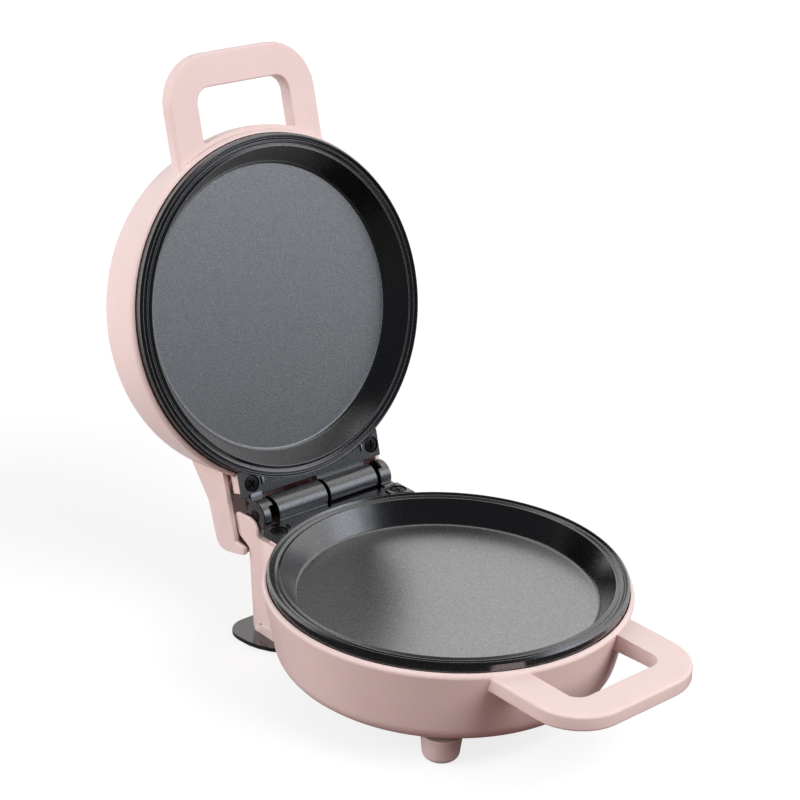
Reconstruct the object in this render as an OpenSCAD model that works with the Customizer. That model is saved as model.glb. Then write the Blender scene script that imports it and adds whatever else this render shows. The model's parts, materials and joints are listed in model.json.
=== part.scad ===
// Small hinged table-top maker with two round flat pans, shown with its lid open.
// Millimetres. The machine stands on z = 0 and is symmetric about x = 0.
// Pieces of the base are drawn about the pan axis, with z = 0 at the plate's crest ring.
// Pieces of the lid are drawn the same way, pan upwards, and then turned over and opened.

/* [Cooking plates] */
// Outer radius of a plate
plate_r = 59; // [54:0.5:66]
// Inset of the outer crest ring from the plate's edge
crest_inset = 0.8; // [0.6:0.1:1]
// Inset of the middle ring
mid_inset = 2.4; // [2.1:0.1:2.8]
// Inset of the pan's own lip
lip_inset = 4.6; // [4.2:0.1:5]
// Inset of the flat pan floor
floor_inset = 9.4; // [8:0.2:12]
// Depth of the pan below the crest ring
pan_depth = 8.6; // [7.4:0.2:9.4]
// Drop of the lip below the crest ring
lip_drop = 0.5; // [0.3:0.1:0.7]
// Depth of the grooves between the rings
groove_depth = 1.2; // [0.9:0.1:1.5]
// Thickness of the pan's metal
plate_t = 2.5; // [2:0.1:3]
// Height of the skirt around the plate
skirt_h = 6; // [5:0.2:7]
// Thickness of the skirt
skirt_t = 2; // [1.6:0.1:2.4]

/* [Plate ears] */
// Half the width across the two ears
ear_half_w = 29.8; // [29:0.1:30]
// Reach of the ears behind the plate's edge
ear_reach = 1; // [0.4:0.2:2]
// Thickness of the ears
ear_t = 3; // [2.6:0.1:3.4]
// Distance of an ear screw from the middle plane
ear_screw_x = 26.4; // [26:0.1:27]
// Distance of an ear screw outside the plate's edge
ear_screw_out = 2.5; // [2.3:0.1:2.7]
// Radius of an ear screw's head
ear_head_r = 2.7; // [2.4:0.1:2.8]
// Height of an ear screw's head
ear_head_h = 1.6; // [1.2:0.1:1.8]
// Gap around the head in its recess
ear_head_gap = 0.3; // [0.3:0.1:0.8]

/* [Hinge] */
// Distance of the hinge axis behind the plate's edge
hinge_back = 7.3; // [7:0.1:8]
// Height of the hinge axis above the crest ring, half the gap of the closed plates
hinge_z = 1.5; // [1.2:0.1:2]
// Outer radius of the barrels
barrel_r = 5.3; // [4.6:0.1:5.5]
// Half the length of the hinge
hinge_half_w = 28.2; // [27.9:0.1:28.3]
// Length of an end knuckle
end_knuckle_w = 5; // [4.4:0.1:5.4]
// Step in an end knuckle, on the side away from its plate
knuckle_step = 2; // [1:0.1:2.4]
// Gap between an end knuckle and the long barrel
knuckle_gap = 1.3; // [0.3:0.1:1.6]
// Gap between the two long barrels
barrel_gap = 1.2; // [0.4:0.1:1.4]
// Radius of the hinge pin
pin_r = 2; // [1.6:0.1:2.4]
// Running clearance of the pin
pin_gap = 0.05; // [0.03:0.01:0.08]
// Angle from closed to fully open
lid_open = 105.84; // [100:0.5:112]

/* [Shell] */
// Wall thickness of the mouldings
wall = 2.2; // [1.8:0.1:2.4]
// Gap between a plate's skirt and the shell
skirt_gap = 0.2; // [0.1:0.05:0.3]
// Drop of the shell's rim below the crest ring
rim_drop = 3.3; // [2.8:0.1:3.8]
// Radius of the rounded rim
rim_round = 1.5; // [1:0.1:1.6]
// Height of the lower crest ring above the table
rim_h = 43; // [42:0.5:50]
// Bowl wall beyond the plate's edge, at crest height
bowl_out = 2.56; // [2.4:0.1:3.2]
// Draft angle of the bowl wall
bowl_draft = 11.3; // [8:0.1:12]
// Depth of the bowl below the crest ring
bowl_depth = 31.4; // [30:0.2:33]
// Radius of the bowl's bottom corner
bowl_round = 8; // [6:0.5:9]
// Inset of the bottom opening from the cover's edge
cover_lap = 2; // [1.5:0.1:2.5]

/* [Tower and lobes] */
// Half the width of the hinge tower
tower_half_w = 29.8; // [29.8:0.1:30.4]
// Front face of the tower behind the pan axis
tower_front = 43; // [41:0.5:46]
// Rear face beyond the hinge axis, at crest height
tower_out = 2.2; // [1.8:0.1:2.6]
// Draft angle of the tower's rear face
tower_draft = 5.8; // [3:0.1:7]
// Radius of the tower's upright edges
tower_round = 2.5; // [1.5:0.1:3]
// Depth of the slot in the tower's left side
slot_deep = 0.8; // [0.4:0.1:1.2]
// Length of that slot
slot_l = 4.5; // [3:0.5:6]
// Height of that slot
slot_h = 0.9; // [0.6:0.1:1.2]
// Rise of that slot above the tower's lower edge
slot_rise = 3; // [2:0.1:4]
// Set-back of that slot from the tower's front
slot_back = 13.6; // [10:0.2:16]
// Drop of the shelf below the crest ring
shelf_drop = 4.8; // [4.6:0.1:5.2]
// Gap between the hinge's end and a lobe
lobe_gap = 0.15; // [0.1:0.05:0.2]
// Height of the lobes' top above the crest ring
lobe_top = 1.1; // [0.6:0.1:2]
// Front edge of the lobes ahead of the hinge axis
lobe_lead = 2.9; // [2.6:0.1:3.4]
// Reach of the lobes behind the hinge axis
lobe_reach = 10.4; // [9:0.1:10.8]

/* [Lid] */
// Lid wall beyond the plate's edge, at crest height
lid_out = 2.2; // [2.1:0.1:3]
// Draft angle of the lid wall
lid_draft = 7.8; // [5:0.1:9]
// Depth of the lid from its crest ring
lid_depth = 24.6; // [24.2:0.2:28]
// Radius of the lid's outer corner
lid_round = 3; // [2:0.2:4]
// Rise of the lid's crown
lid_crown = 0.8; // [0.4:0.1:1.2]
// Gap between the tower and a cheek
cheek_gap = 0.4; // [0.3:0.05:0.6]
// Thickness of a cheek
cheek_t = 1.8; // [1.4:0.1:2.2]
// Draft angle of the housing's sides, below the cheeks' free edge
cheek_draft = 8.4; // [6:0.2:9]
// Rear end of the flare between the round wall and a side, beyond the plate's edge
flare_reach = 3.5; // [2:0.5:5]
// Rear wall beyond the hinge axis
lid_back = 13.3; // [12.9:0.1:14]
// Thickness of the rear wall
back_t = 1.6; // [1.4:0.1:1.8]
// Depth of the housing's top at its rear
housing_depth = 21.6; // [20.5:0.1:22.4]
// Fall of the housing's top towards the rear
housing_fall = 1; // [0.4:0.1:1.6]
// Radius of the housing's rear corner
housing_round = 4.5; // [3:0.1:5]
// Drop of the cheeks' free edge below the crest ring
cheek_drop = 8.4; // [7.8:0.1:9]
// Gap left at the open stop
stop_gap = 0.05; // [0.03:0.01:0.08]

/* [Loop handles] */
// Reach of a handle beyond the plate's edge
grip_reach = 29.7; // [26:0.1:34]
// Half the width of a handle
grip_half_w = 30.4; // [29:0.1:32]
// Corner radius of a handle
grip_round = 17.2; // [14:0.1:18]
// Width of the bar across the end
grip_bar = 11.5; // [9:0.1:13]
// Width of the two legs
grip_leg = 11.4; // [10:0.1:13]
// Corner radius of the opening
grip_hole_round = 5.2; // [3:0.1:7]
// Thickness of a handle
grip_t = 5.5; // [4.5:0.1:6.5]
// Radius of the handle's edges
grip_edge = 1.2; // [0.6:0.1:1.6]
// Drop of the base handle below the crest ring
grip_drop = 4.4; // [4:0.1:6]
// Drop of the lid handle below its crest ring
lid_grip_drop = 5.5; // [4.5:0.1:7]
// Web between the lid handle's legs, beyond the plate's edge
lid_grip_web = 3; // [2.8:0.1:4.5]

/* [Stand, cover and feet] */
// Half the width of the stand plate
stand_half_w = 37.1; // [33:0.1:40]
// Front edge of the stand plate, ahead of the tower's front face
stand_lead = 2; // [1:0.5:4]
// Rear edge of the stand plate beyond the hinge axis
stand_out = 6.2; // [4:0.1:9]
// Radius of the stand plate's rear corners
stand_round = 8; // [4:0.5:8.5]
// Thickness of the stand plate
stand_t = 1.5; // [1.2:0.1:2]
// Radius of a rubber pad
pad_r = 4; // [3:0.1:4.4]
// Thickness of a rubber pad
pad_t = 0.8; // [0.6:0.1:1.2]
// Inset of the pads from the edge of the stand plate
pad_inset = 5.5; // [5:0.1:7]
// Radius of the bottom cover
cover_r = 48; // [46:0.2:48.6]
// Thickness of the bottom cover
cover_t = 2.6; // [2.2:0.1:3]
// Distance of a foot from the middle plane
foot_x = 29.5; // [27:0.5:30]
// Distance of a foot ahead of the pan axis
foot_y = 31.4; // [28:0.2:32]
// Radius of a foot at its top
foot_r = 6.8; // [6:0.1:7.2]
// Radius of a foot near the table
foot_end_r = 6; // [5:0.1:6.4]
// Radius of a foot's lower edge
foot_round = 2.4; // [1:0.1:3]

/* [Inner works] */
// Radius of the heating element's ring
heater_ring_r = 35; // [33:0.5:38]
// Radius of the heating element's tube
heater_r = 3.3; // [2.8:0.1:3.4]
// Distance of the clamp screws from the pan axis
clamp_r = 26; // [24:0.5:27]
// Thickness of the clamp strips
clamp_t = 1.2; // [0.8:0.1:1.4]
// Width of the clamp strips
clamp_w = 8; // [7:0.5:10]
// Thickness of the reflector pan
reflector_t = 0.6; // [0.5:0.1:0.8]
// Gap between the reflector's rim and the plate
reflector_gap = 0.8; // [0.5:0.1:1.2]
// Inset of the reflector's flat floor from the pan's floor edge
reflector_inset = 5.3; // [5:0.1:5.8]
// Radius of the thermostat
thermostat_r = 8; // [7:0.1:9]
// Height of the thermostat
thermostat_h = 9.5; // [9:0.1:12]
// Length of the thermal fuse's sleeve
fuse_l = 16; // [12:0.5:18]
// Radius of the thermal fuse's sleeve
fuse_r = 2.2; // [1.8:0.1:2.6]
// Length of the terminal block
block_l = 24; // [20:0.5:28]
// Height of the terminal block
block_h = 9; // [7:0.5:10]
// Radius of the gland's bore, for a round cord
gland_bore_r = 3.2; // [2.6:0.1:3.6]
// Height of the gland's axis above the table
gland_h = 16; // [14:0.5:20]
// Distance of the indicators ahead of the pan axis
lamp_y = 34; // [25:0.5:40]
// Distance of an indicator from the middle plane
lamp_x = 7; // [5:0.5:12]
// Radius of an indicator lens
lens_r = 2.6; // [2.2:0.1:3.2]

/* [Screws] */
// Radius of a screw's shank
screw_r = 1.3; // [1:0.1:1.4]
// Length of an ear screw's shank
ear_screw_l = 9; // [7:0.5:10]
// Length of the stand and cover screws' shanks
base_screw_l = 8; // [6:0.5:9]
// Radius of the stand and cover screws' heads
base_head_r = 2.6; // [2.2:0.1:2.8]
// Gap between a screw and its pilot hole
thread_gap = 0.02; // [0.01:0.01:0.04]
// Wall of a screw boss around its hole
boss_wall = 1.8; // [1.4:0.1:2]

/* [Hidden] */

$fn = 96;
eps = 0.01;
arc_step = 12;
sides = [-1, 1];

shell_pink = "#ecc9c2";
coated_grey = "#3b3c40";
gloss_black = "#161518";
cover_grey = "#3f3a3b";
bright_steel = "#b9bcc0";
rubber_black = "#1d1d1f";
ceramic_white = "#e9e6df";

// Plates
crest_r = plate_r - crest_inset;
mid_r = plate_r - mid_inset;
lip_r = plate_r - lip_inset;
pan_r = plate_r - floor_inset;
crest_round = 0.25;
pan_fillet = 1.6;
shoulder_drop = 0.9;
mid_drop = 0.4;
pan_slope = (lip_r - pan_r) / (pan_depth - lip_drop);
wall_run = plate_t * sqrt(1 + pan_slope * pan_slope);
plate_under = -pan_depth - plate_t;
skirt_in = plate_r - skirt_t;
web_z = -ear_t;
ear_y = plate_r + ear_reach;
ear_screw_y = sqrt(pow(plate_r + ear_screw_out, 2) - pow(ear_screw_x, 2));
ear_head_top = -0.1;
cross_w = 0.7;
cross_l = 3.4;
cross_h = 0.9;
ear_root_r = plate_r - 0.4;

// Heater seat, clamps and reflector
seat_h = 3;
seat_wall = 1.5;
heater_gap = 0.05;
heater_z = plate_under - heater_r - heater_gap;
clamp_z = heater_z - heater_r;
clamp_angles = [90, 210, 330];
reflector_z = clamp_z - clamp_t;
clamp_screw_l = 6;
terminal_l = 6.7;
terminal_r = 1.2;
terminal_spread = 5;
heater_open = 12;
fuse_y = 0.4 * heater_ring_r;
terminal_turn = heater_open + 4;

// Hinge
hinge_y = plate_r + hinge_back;
knuckle_in = hinge_half_w - end_knuckle_w;
barrel_end = knuckle_in - knuckle_gap;
pin_bore_r = pin_r + pin_gap;
web_rise = 0.6;
step_y = 0.58 * barrel_r;

// Small locating ribs beside the ear screws
pip_out = 4.5;
pip_w = 0.8;
pip_l = 2.6;
pip_h = 0.5;

// Shells
rim_z = -rim_drop;
shelf_z = -shelf_drop;
rim_in = plate_r + skirt_gap;
floor_z = -rim_h;
boss_r = screw_r + boss_wall;
pilot_r = screw_r + thread_gap;

// Tower and lobes
tower_bottom = floor_z + pad_t + stand_t;
lobe_in = hinge_half_w + lobe_gap;
tower_y0 = hinge_y + tower_out;
lobe_root = -10.6;
lobe_h = lobe_top + shelf_drop;
lobe_round = 0.78 * lobe_h;
shelf_fillet = 0.14 * lobe_h;

// Lid
cheek_in = tower_half_w + cheek_gap;
cheek_out = cheek_in + cheek_t;
lid_back_y = hinge_y + lid_back;
edge_out = 4.3;
edge_in = 2.7;
housing_in = cheek_in - 1.2;
housing_top = -housing_depth - housing_fall;
flare_turn = 35.8;

// Indicators
lens_z = -lid_depth - lid_crown;
lens_h = wall + 0.6;
lens_gap = 0.05;
lamp_r = 1.6;
lamp_h = 2.2;

// Stand, cover and feet
stand_front = tower_front - stand_lead;
stand_back = hinge_y + stand_out;
stand_front_round = 0.7 * (stand_back - stand_front);
front_pad_inset = stand_front_round - (stand_front_round - pad_inset) * sin(45);
cover_z = -bowl_depth - cover_t;
cover_gap = 0.3;
screw_head_h = 1;
cover_screw_r = 43.6;
cover_screw_angles = [-90, 15, 165];
stand_screw_x = 20;
stand_screw_y = 55;
foot_stem_r = 2.6;
foot_stem_gap = 0.05;
foot_stem_l = 5;
boss_trim = 0.25;
pad_in = 0.2;
post_h = 4;

// ---------------------------------------------------------------- helpers

function unit(v) = v / norm(v);
function turn(a) = a > 180 ? a - 360 : a < -180 ? a + 360 : a;

// Centre of the arc of radius r that rounds the corner p between a and b
function arc_centre(a, p, b, r) =
    let (u = unit(a - p), v = unit(b - p), half = acos(u * v) / 2)
    p + unit(u + v) * r / sin(half);

// Points of that arc
function rounded(a, p, b, r) =
    let (
        u = unit(a - p),
        half = acos(u * unit(b - p)) / 2,
        c = arc_centre(a, p, b, r),
        s = p + u * r / tan(half) - c,
        e = p + unit(b - p) * r / tan(half) - c,
        from = atan2(s[1], s[0]),
        sweep = turn(atan2(e[1], e[0]) - from),
        n = ceil(abs(sweep) / arc_step)
    )
    [for (i = [0:n]) c + r * [cos(from + sweep * i / n), sin(from + sweep * i / n)]];

function xy(p) = [p[0], p[1]];

// Outline through points [x, y, radius], each corner rounded by its radius
function outline(pts) =
    let (n = len(pts))
    [for (i = [0:n - 1])
        each pts[i][2] == 0 ? [xy(pts[i])]
            : rounded(xy(pts[(i + n - 1) % n]), xy(pts[i]), xy(pts[(i + 1) % n]), pts[i][2])];

// Draws a [y, z] outline across the machine, from x = a to x = b
module across(a, b) {
    translate([a, 0, 0]) rotate([90, 0, 90]) linear_extrude(b - a) children();
}

// Draws an [x, z] outline from y = a to y = b
module along(a, b) {
    translate([0, b, 0]) rotate([90, 0, 0]) linear_extrude(b - a) children();
}

// Places a piece of the base: pan axis and crest ring to the machine's own frame
module on_base() {
    translate([0, pan_y, rim_h]) children();
}

// Turns a piece of the lid about the hinge axis to its open place
module opened() {
    on_base() translate([0, hinge_y, hinge_z]) rotate([-lid_open, 0, 0]) children();
}

// Places a piece of the lid that is drawn pan upwards and is the same on both sides
module on_lid() {
    opened() mirror([0, 0, 1]) translate([0, -hinge_y, -hinge_z]) children();
}

// Places a casting on the lid, turned over about the middle line
module flipped_on_lid() {
    opened() rotate([0, 180, 0]) translate([0, -hinge_y, -hinge_z]) children();
}

// Cuts a cross slot down from z = 0
module cross_slot() {
    for (a = [0, 90])
        rotate([0, 0, a])
            translate([-cross_l / 2, -cross_w / 2, -cross_h])
                cube([cross_l, cross_w, cross_h + 1]);
}

// Screw with its head's top at z = 0, pointing down
module screw(head_r, head_h, length) {
    difference() {
        union() {
            translate([0, 0, -head_h]) cylinder(r = head_r, h = head_h);
            translate([0, 0, -head_h - length]) cylinder(r = screw_r, h = length + eps);
        }
        cross_slot();
    }
}

// ---------------------------------------------------------------- plates

plate_profile = outline([
    [0, -pan_depth, 0],
    [pan_r, -pan_depth, pan_fillet],
    [lip_r, -lip_drop, crest_round],
    [(lip_r + mid_r) / 2, -groove_depth, crest_round],
    [mid_r, -mid_drop, crest_round],
    [(mid_r + crest_r) / 2, -groove_depth, crest_round],
    [crest_r, 0, crest_round],
    [plate_r, -shoulder_drop, crest_round],
    [plate_r, -skirt_h, 0],
    [skirt_in, -skirt_h, 0],
    [skirt_in, -ear_t - 0.4, 0],
    [lip_r + wall_run - pan_slope * (ear_t - lip_drop), -ear_t - 0.4, 0],
    [pan_r + wall_run - pan_slope * plate_t, plate_under, 0],
    [0, plate_under, 0]
]);

module ear_plan() {
    difference() {
        translate([-ear_half_w, plate_r / 2])
            square([2 * ear_half_w, ear_y - plate_r / 2]);
        circle(r = ear_root_r);
    }
}

// Barrel about the hinge axis from x = a to x = b, with the web that carries it
module barrel(a, b, web_top) {
    across(a, b) translate([hinge_y, hinge_z]) circle(r = barrel_r);
    translate([a, plate_r - 0.2, web_z])
        cube([b - a, hinge_y - plate_r + 0.2, web_top - web_z]);
}

// End knuckle with a step, where the long barrel of the other plate has its end face
module end_knuckle() {
    difference() {
        barrel(knuckle_in, hinge_half_w, web_rise);
        translate([knuckle_in - 1, hinge_y - step_y, hinge_z - 2 * barrel_r])
            cube([knuckle_step + 1, 3 * barrel_r, 4 * barrel_r]);
    }
}

// The casting that serves as lower plate and, turned over, as upper plate
module pan_plate() {
    difference() {
        union() {
            rotate_extrude($fn = 180) polygon(plate_profile);
            translate([0, 0, -ear_t]) linear_extrude(ear_t) ear_plan();
            end_knuckle();
            barrel(-barrel_end, -barrel_gap / 2, 0);
            // Small locating ribs beside the ear screws
            for (s = sides)
                translate([s * (ear_screw_x - pip_out) - pip_w / 2, ear_screw_y - pip_l / 2, -1])
                    cube([pip_w, pip_l, 1 + pip_h]);
            // Seat of the heating element
            rotate_extrude()
                translate([heater_ring_r - heater_r - seat_wall, plate_under - seat_h])
                    square([2 * (heater_r + seat_wall), seat_h + eps]);
            for (a = clamp_angles)
                rotate([0, 0, a]) translate([clamp_r, 0, clamp_z])
                    cylinder(r = boss_r, h = plate_under - clamp_z + eps);
        }
        rotate_extrude()
            translate([heater_ring_r, heater_z]) circle(r = heater_r + heater_gap);
        rotate_extrude()
            translate([heater_ring_r - heater_r - heater_gap, plate_under - seat_h - 1])
                square([2 * (heater_r + heater_gap), plate_under - heater_z - seat_h + 1]);
        for (a = clamp_angles)
            rotate([0, 0, a]) translate([clamp_r, 0, clamp_z - 1])
                cylinder(r = pilot_r, h = clamp_screw_l + 1);
        for (s = sides) translate([s * ear_screw_x, ear_screw_y, 0]) {
            translate([0, 0, ear_head_top - ear_head_h])
                cylinder(r = ear_head_r + ear_head_gap, h = ear_head_h + 1);
            translate([0, 0, -ear_t - 1]) cylinder(r = screw_r + 0.2, h = ear_t);
        }
        across(-hinge_half_w - 1, hinge_half_w + 1)
            translate([hinge_y, hinge_z]) circle(r = pin_bore_r);
    }
}

module ear_screws() {
    for (s = sides)
        translate([s * ear_screw_x, ear_screw_y, ear_head_top])
            rotate([0, 0, 20 * s]) screw(ear_head_r, ear_head_h, ear_screw_l);
}

// ---------------------------------------------------------------- heating

// Tubular ring, open at the rear, with a terminal pin down from each cold end
module heater_ring() {
    rotate([0, 0, 90 + heater_open])
        rotate_extrude(angle = 360 - 2 * heater_open)
            translate([heater_ring_r, heater_z]) circle(r = heater_r, $fn = 32);
    for (s = sides)
        rotate([0, 0, 90 + s * terminal_turn])
            translate([heater_ring_r, 0, heater_z - terminal_l])
                cylinder(r = terminal_r, h = terminal_l, $fn = 24);
}

module clamp_strips() {
    for (a = clamp_angles)
        rotate([0, 0, a + 180]) mirror([1, 0, 0]) difference() {
            translate([clamp_r - clamp_w / 2, -clamp_w / 2, reflector_z])
                cube([heater_ring_r + heater_r - clamp_r + clamp_w / 2, clamp_w, clamp_t]);
            translate([clamp_r, 0, reflector_z - 1]) cylinder(r = screw_r + 0.2, h = clamp_t + 2);
        }
}

reflector_floor_r = pan_r - reflector_inset;
reflector_rim_r = skirt_in - reflector_gap;
reflector_rim_z = -skirt_h - 1;

module reflector_pan() {
    difference() {
        rotate_extrude($fn = 128) polygon([
            [thermostat_r + 2, reflector_z],
            [reflector_floor_r, reflector_z],
            [reflector_rim_r - reflector_t, reflector_rim_z],
            [reflector_rim_r, reflector_rim_z],
            [reflector_floor_r + reflector_t / 2, reflector_z - reflector_t],
            [thermostat_r + 2, reflector_z - reflector_t]
        ]);
        for (a = clamp_angles)
            rotate([0, 0, a]) translate([clamp_r, 0, reflector_z - 2])
                cylinder(r = screw_r + 0.2, h = 3);
        for (s = sides)
            rotate([0, 0, 90 + s * terminal_turn]) translate([heater_ring_r, 0, reflector_z - 2])
                cylinder(r = terminal_r + 1.3, h = 3);
    }
}

module clamp_screws() {
    for (a = clamp_angles)
        rotate([0, 0, a]) translate([clamp_r, 0, reflector_z - reflector_t]) mirror([0, 0, 1])
            translate([0, 0, screw_head_h])
                screw(base_head_r, screw_head_h, clamp_t + reflector_t + clamp_screw_l - 1);
}

// ---------------------------------------------------------------- shells

function wall_r(out, draft, z) = plate_r + out + z * tan(draft);

// Solid outer form of a round shell, rim upwards
module round_body(out, draft, depth, corner, crown) {
    rotate_extrude($fn = 180) polygon(outline([
        [0, rim_z, 0],
        [wall_r(out, draft, rim_z), rim_z, rim_round],
        [wall_r(out, draft, -depth), -depth, corner],
        [0, -depth - crown, 0]
    ]));
}

// Space inside a round shell, with a ledge for the plate's skirt
module round_cavity(out, draft, depth, corner, crown) {
    rotate_extrude($fn = 180) polygon(outline([
        [0, 1, 0],
        [rim_in, 1, 0],
        [rim_in, -skirt_h, 0],
        [wall_r(out, draft, -skirt_h) - wall - 0.3, -skirt_h, 0],
        [wall_r(out, draft, -depth + wall) - wall, -depth + wall, max(corner - wall, 1)],
        [0, -depth - crown + wall, 0]
    ]));
}

// Outline of a loop handle in plan, drawn inwards by inset
function grip_plan(inset) = outline([
    [-grip_half_w + inset, -plate_r / 2, 0],
    [-grip_half_w + inset, -plate_r - grip_reach + inset, grip_round - inset],
    [grip_half_w - inset, -plate_r - grip_reach + inset, grip_round - inset],
    [grip_half_w - inset, -plate_r / 2, 0]
]);

// Loop handle with its top face at z = 0, rounded edges and a web along the shell
module grip_loop(web = 0) {
    hole_half_w = grip_half_w - grip_leg;
    hole_end = -plate_r - grip_reach + grip_bar;
    difference() {
        hull() for (a = [0, 30, 60, 90])
            translate([0, 0, -grip_t + grip_edge * (1 - sin(a))])
                linear_extrude(grip_t - 2 * grip_edge * (1 - sin(a)))
                    polygon(grip_plan(grip_edge * (1 - cos(a))));
        translate([0, 0, -grip_t - 1]) linear_extrude(grip_t + 2) difference() {
            polygon(outline([
                [-hole_half_w, -plate_r / 2, 0],
                [-hole_half_w, hole_end, grip_hole_round],
                [hole_half_w, hole_end, grip_hole_round],
                [hole_half_w, -plate_r / 2, 0]
            ]));
            circle(r = plate_r + web);
        }
    }
}

// Rear face of the tower at height z
function tower_y(z) = tower_y0 + z * tan(tower_draft);

// Side outline of the tower up to the lobes' tops
tower_side = outline([
    [tower_front, tower_bottom, 0],
    [tower_y(tower_bottom), tower_bottom, 1],
    [tower_y(lobe_root), lobe_root, 2],
    [hinge_y + lobe_reach - 3, shelf_z - 2.8, 2.5],
    [hinge_y + lobe_reach, lobe_top - 0.9, 2],
    [hinge_y - lobe_lead, lobe_top, lobe_round],
    [hinge_y - lobe_lead, shelf_z, shelf_fillet],
    [tower_front, shelf_z, 0]
]);

// Side outline of the space inside the tower
tower_hollow = [
    [tower_front + wall, tower_bottom - 1],
    [tower_y(tower_bottom) - wall, tower_bottom - 1],
    [tower_y(lobe_root) - wall, lobe_root],
    [hinge_y + lobe_reach - 3 - wall, shelf_z - 3.6],
    [hinge_y + lobe_reach - 3 - wall, shelf_z - wall],
    [tower_front + wall, shelf_z - wall]
];

// Trough above the shelf between the two lobes, where the barrels turn
module hinge_trough() {
    translate([-lobe_in, tower_front, shelf_z])
        cube([2 * lobe_in, stand_back, lobe_top - shelf_z + 1]);
}

// Places screw bosses under the ears
module at_ear_screws() {
    for (s = sides) translate([s * ear_screw_x, ear_screw_y, 0]) children();
}

module at_cover_screws() {
    for (a = cover_screw_angles)
        rotate([0, 0, a]) translate([cover_screw_r, 0, -bowl_depth]) children();
}

module at_stand_screws() {
    for (s = sides) translate([s * stand_screw_x, stand_screw_y, tower_bottom]) children();
}

gland_y = tower_y(floor_z + gland_h);
gland_neck_r = gland_bore_r + 1.2;
gland_flange_r = gland_bore_r + 2.8;

module at_gland() {
    translate([0, gland_y, floor_z + gland_h]) rotate([90 + tower_draft, 0, 180]) children();
}

// Screw bosses under the ears, clear of the plate's skirt, down to the depth end
module ear_bosses(end) {
    difference() {
        at_ear_screws() translate([0, 0, -end]) cylinder(r = boss_r, h = end - ear_t);
        translate([0, 0, -skirt_h]) cylinder(r = rim_in + boss_trim, h = skirt_h + 1);
    }
}

// Posts of the lid under its plate's ears: a boss and a square pad flush with the ear's side
module ear_posts() {
    ear_bosses(housing_depth);
    difference() {
        for (s = sides)
            translate([s * (ear_half_w - pad_in - boss_r) - boss_r, plate_r / 2, -ear_t - post_h])
                cube([2 * boss_r, ear_screw_y + boss_r - plate_r / 2, post_h]);
        translate([0, 0, -skirt_h]) cylinder(r = rim_in + boss_trim, h = skirt_h + 1);
        translate([0, 0, -skirt_h - 1]) cylinder(r = rim_in - wall / 2, h = skirt_h + 1);
    }
}

module base_bosses() {
    ear_bosses(ear_t + ear_screw_l + 1);
    at_cover_screws() translate([0, 0, -1]) cylinder(r = boss_r, h = base_screw_l + 3);
    at_stand_screws() translate([0, 0, -2]) {
        cylinder(r = boss_r, h = base_screw_l + 6);
        translate([-boss_wall / 2, -stand_screw_y, 0])
            cube([boss_wall, stand_screw_y, base_screw_l + 5]);
    }
}

module tower_body() {
    intersection() {
        across(-tower_half_w, tower_half_w) polygon(tower_side);
        translate([0, 0, floor_z]) linear_extrude(2 * rim_h) polygon(outline([
            [-tower_half_w, tower_front, tower_round],
            [tower_half_w, tower_front, tower_round],
            [tower_half_w, hinge_y + 2 * lobe_reach, 0],
            [-tower_half_w, hinge_y + 2 * lobe_reach, 0]
        ]));
    }
}

module base_shell() {
    color(shell_pink) on_base() difference() {
        union() {
            translate([0, 0, -grip_drop]) grip_loop();
            round_body(bowl_out, bowl_draft, bowl_depth, bowl_round, 0);
            tower_body();
            intersection() {
                ear_bosses(ear_t + ear_screw_l + 1);
                hinge_trough();
            }
        }
        difference() {
            union() {
                round_cavity(bowl_out, bowl_draft, bowl_depth, bowl_round, 0);
                translate([0, 0, -bowl_depth - 1])
                    cylinder(r = cover_r - cover_lap, h = wall + 2);
                across(-tower_half_w + wall, tower_half_w - wall) polygon(tower_hollow);
                hinge_trough();
            }
            base_bosses();
        }
        at_ear_screws() translate([0, 0, -ear_t - ear_screw_l - 2])
            cylinder(r = pilot_r, h = ear_screw_l + 3);
        at_cover_screws() translate([0, 0, -1]) cylinder(r = pilot_r, h = base_screw_l + 1);
        at_stand_screws() translate([0, 0, -1]) cylinder(r = pilot_r, h = base_screw_l + 1);
        at_gland() translate([0, 0, -2 * wall]) cylinder(r = gland_neck_r, h = 4 * wall);
        translate([-tower_half_w - 1, tower_front + slot_back, tower_bottom + slot_rise])
            cube([slot_deep + 1, slot_l, slot_h]);
    }
}

// Angle and drop of the lid's free rear edge, where its outer corner meets the tower
function edge_rise(run) =
    let (
        a = tower_y(hinge_z) + stop_gap - hinge_y,
        b = tan(tower_draft),
        c = cos(lid_open),
        s = sin(lid_open)
    )
    (a - run * (c + b * s)) / (s - b * c);

lid_edge_z = hinge_z - edge_rise(lid_back);

housing_side = outline([
    [plate_r / 2, housing_top, 0],
    [plate_r / 2, -cheek_drop - 0.4, 0],
    [lid_back_y - edge_out, -cheek_drop + 0.8, 1],
    [lid_back_y - edge_in, lid_edge_z, 1],
    [lid_back_y, lid_edge_z, 0],
    [lid_back_y, -housing_depth, housing_round],
    [hinge_y, housing_top, 0]
]);

housing_hollow = outline([
    [plate_r / 2, housing_top + wall, 0],
    [hinge_y, housing_top + wall, 0],
    [lid_back_y - back_t, -housing_depth + wall, housing_round - back_t],
    [lid_back_y - back_t, 1, 0],
    [plate_r / 2, 1, 0]
]);

// Half the width of the housing at height z, below the cheeks' free edge
function side_x(z) = cheek_out + (z + cheek_drop) * tan(cheek_draft);

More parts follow.
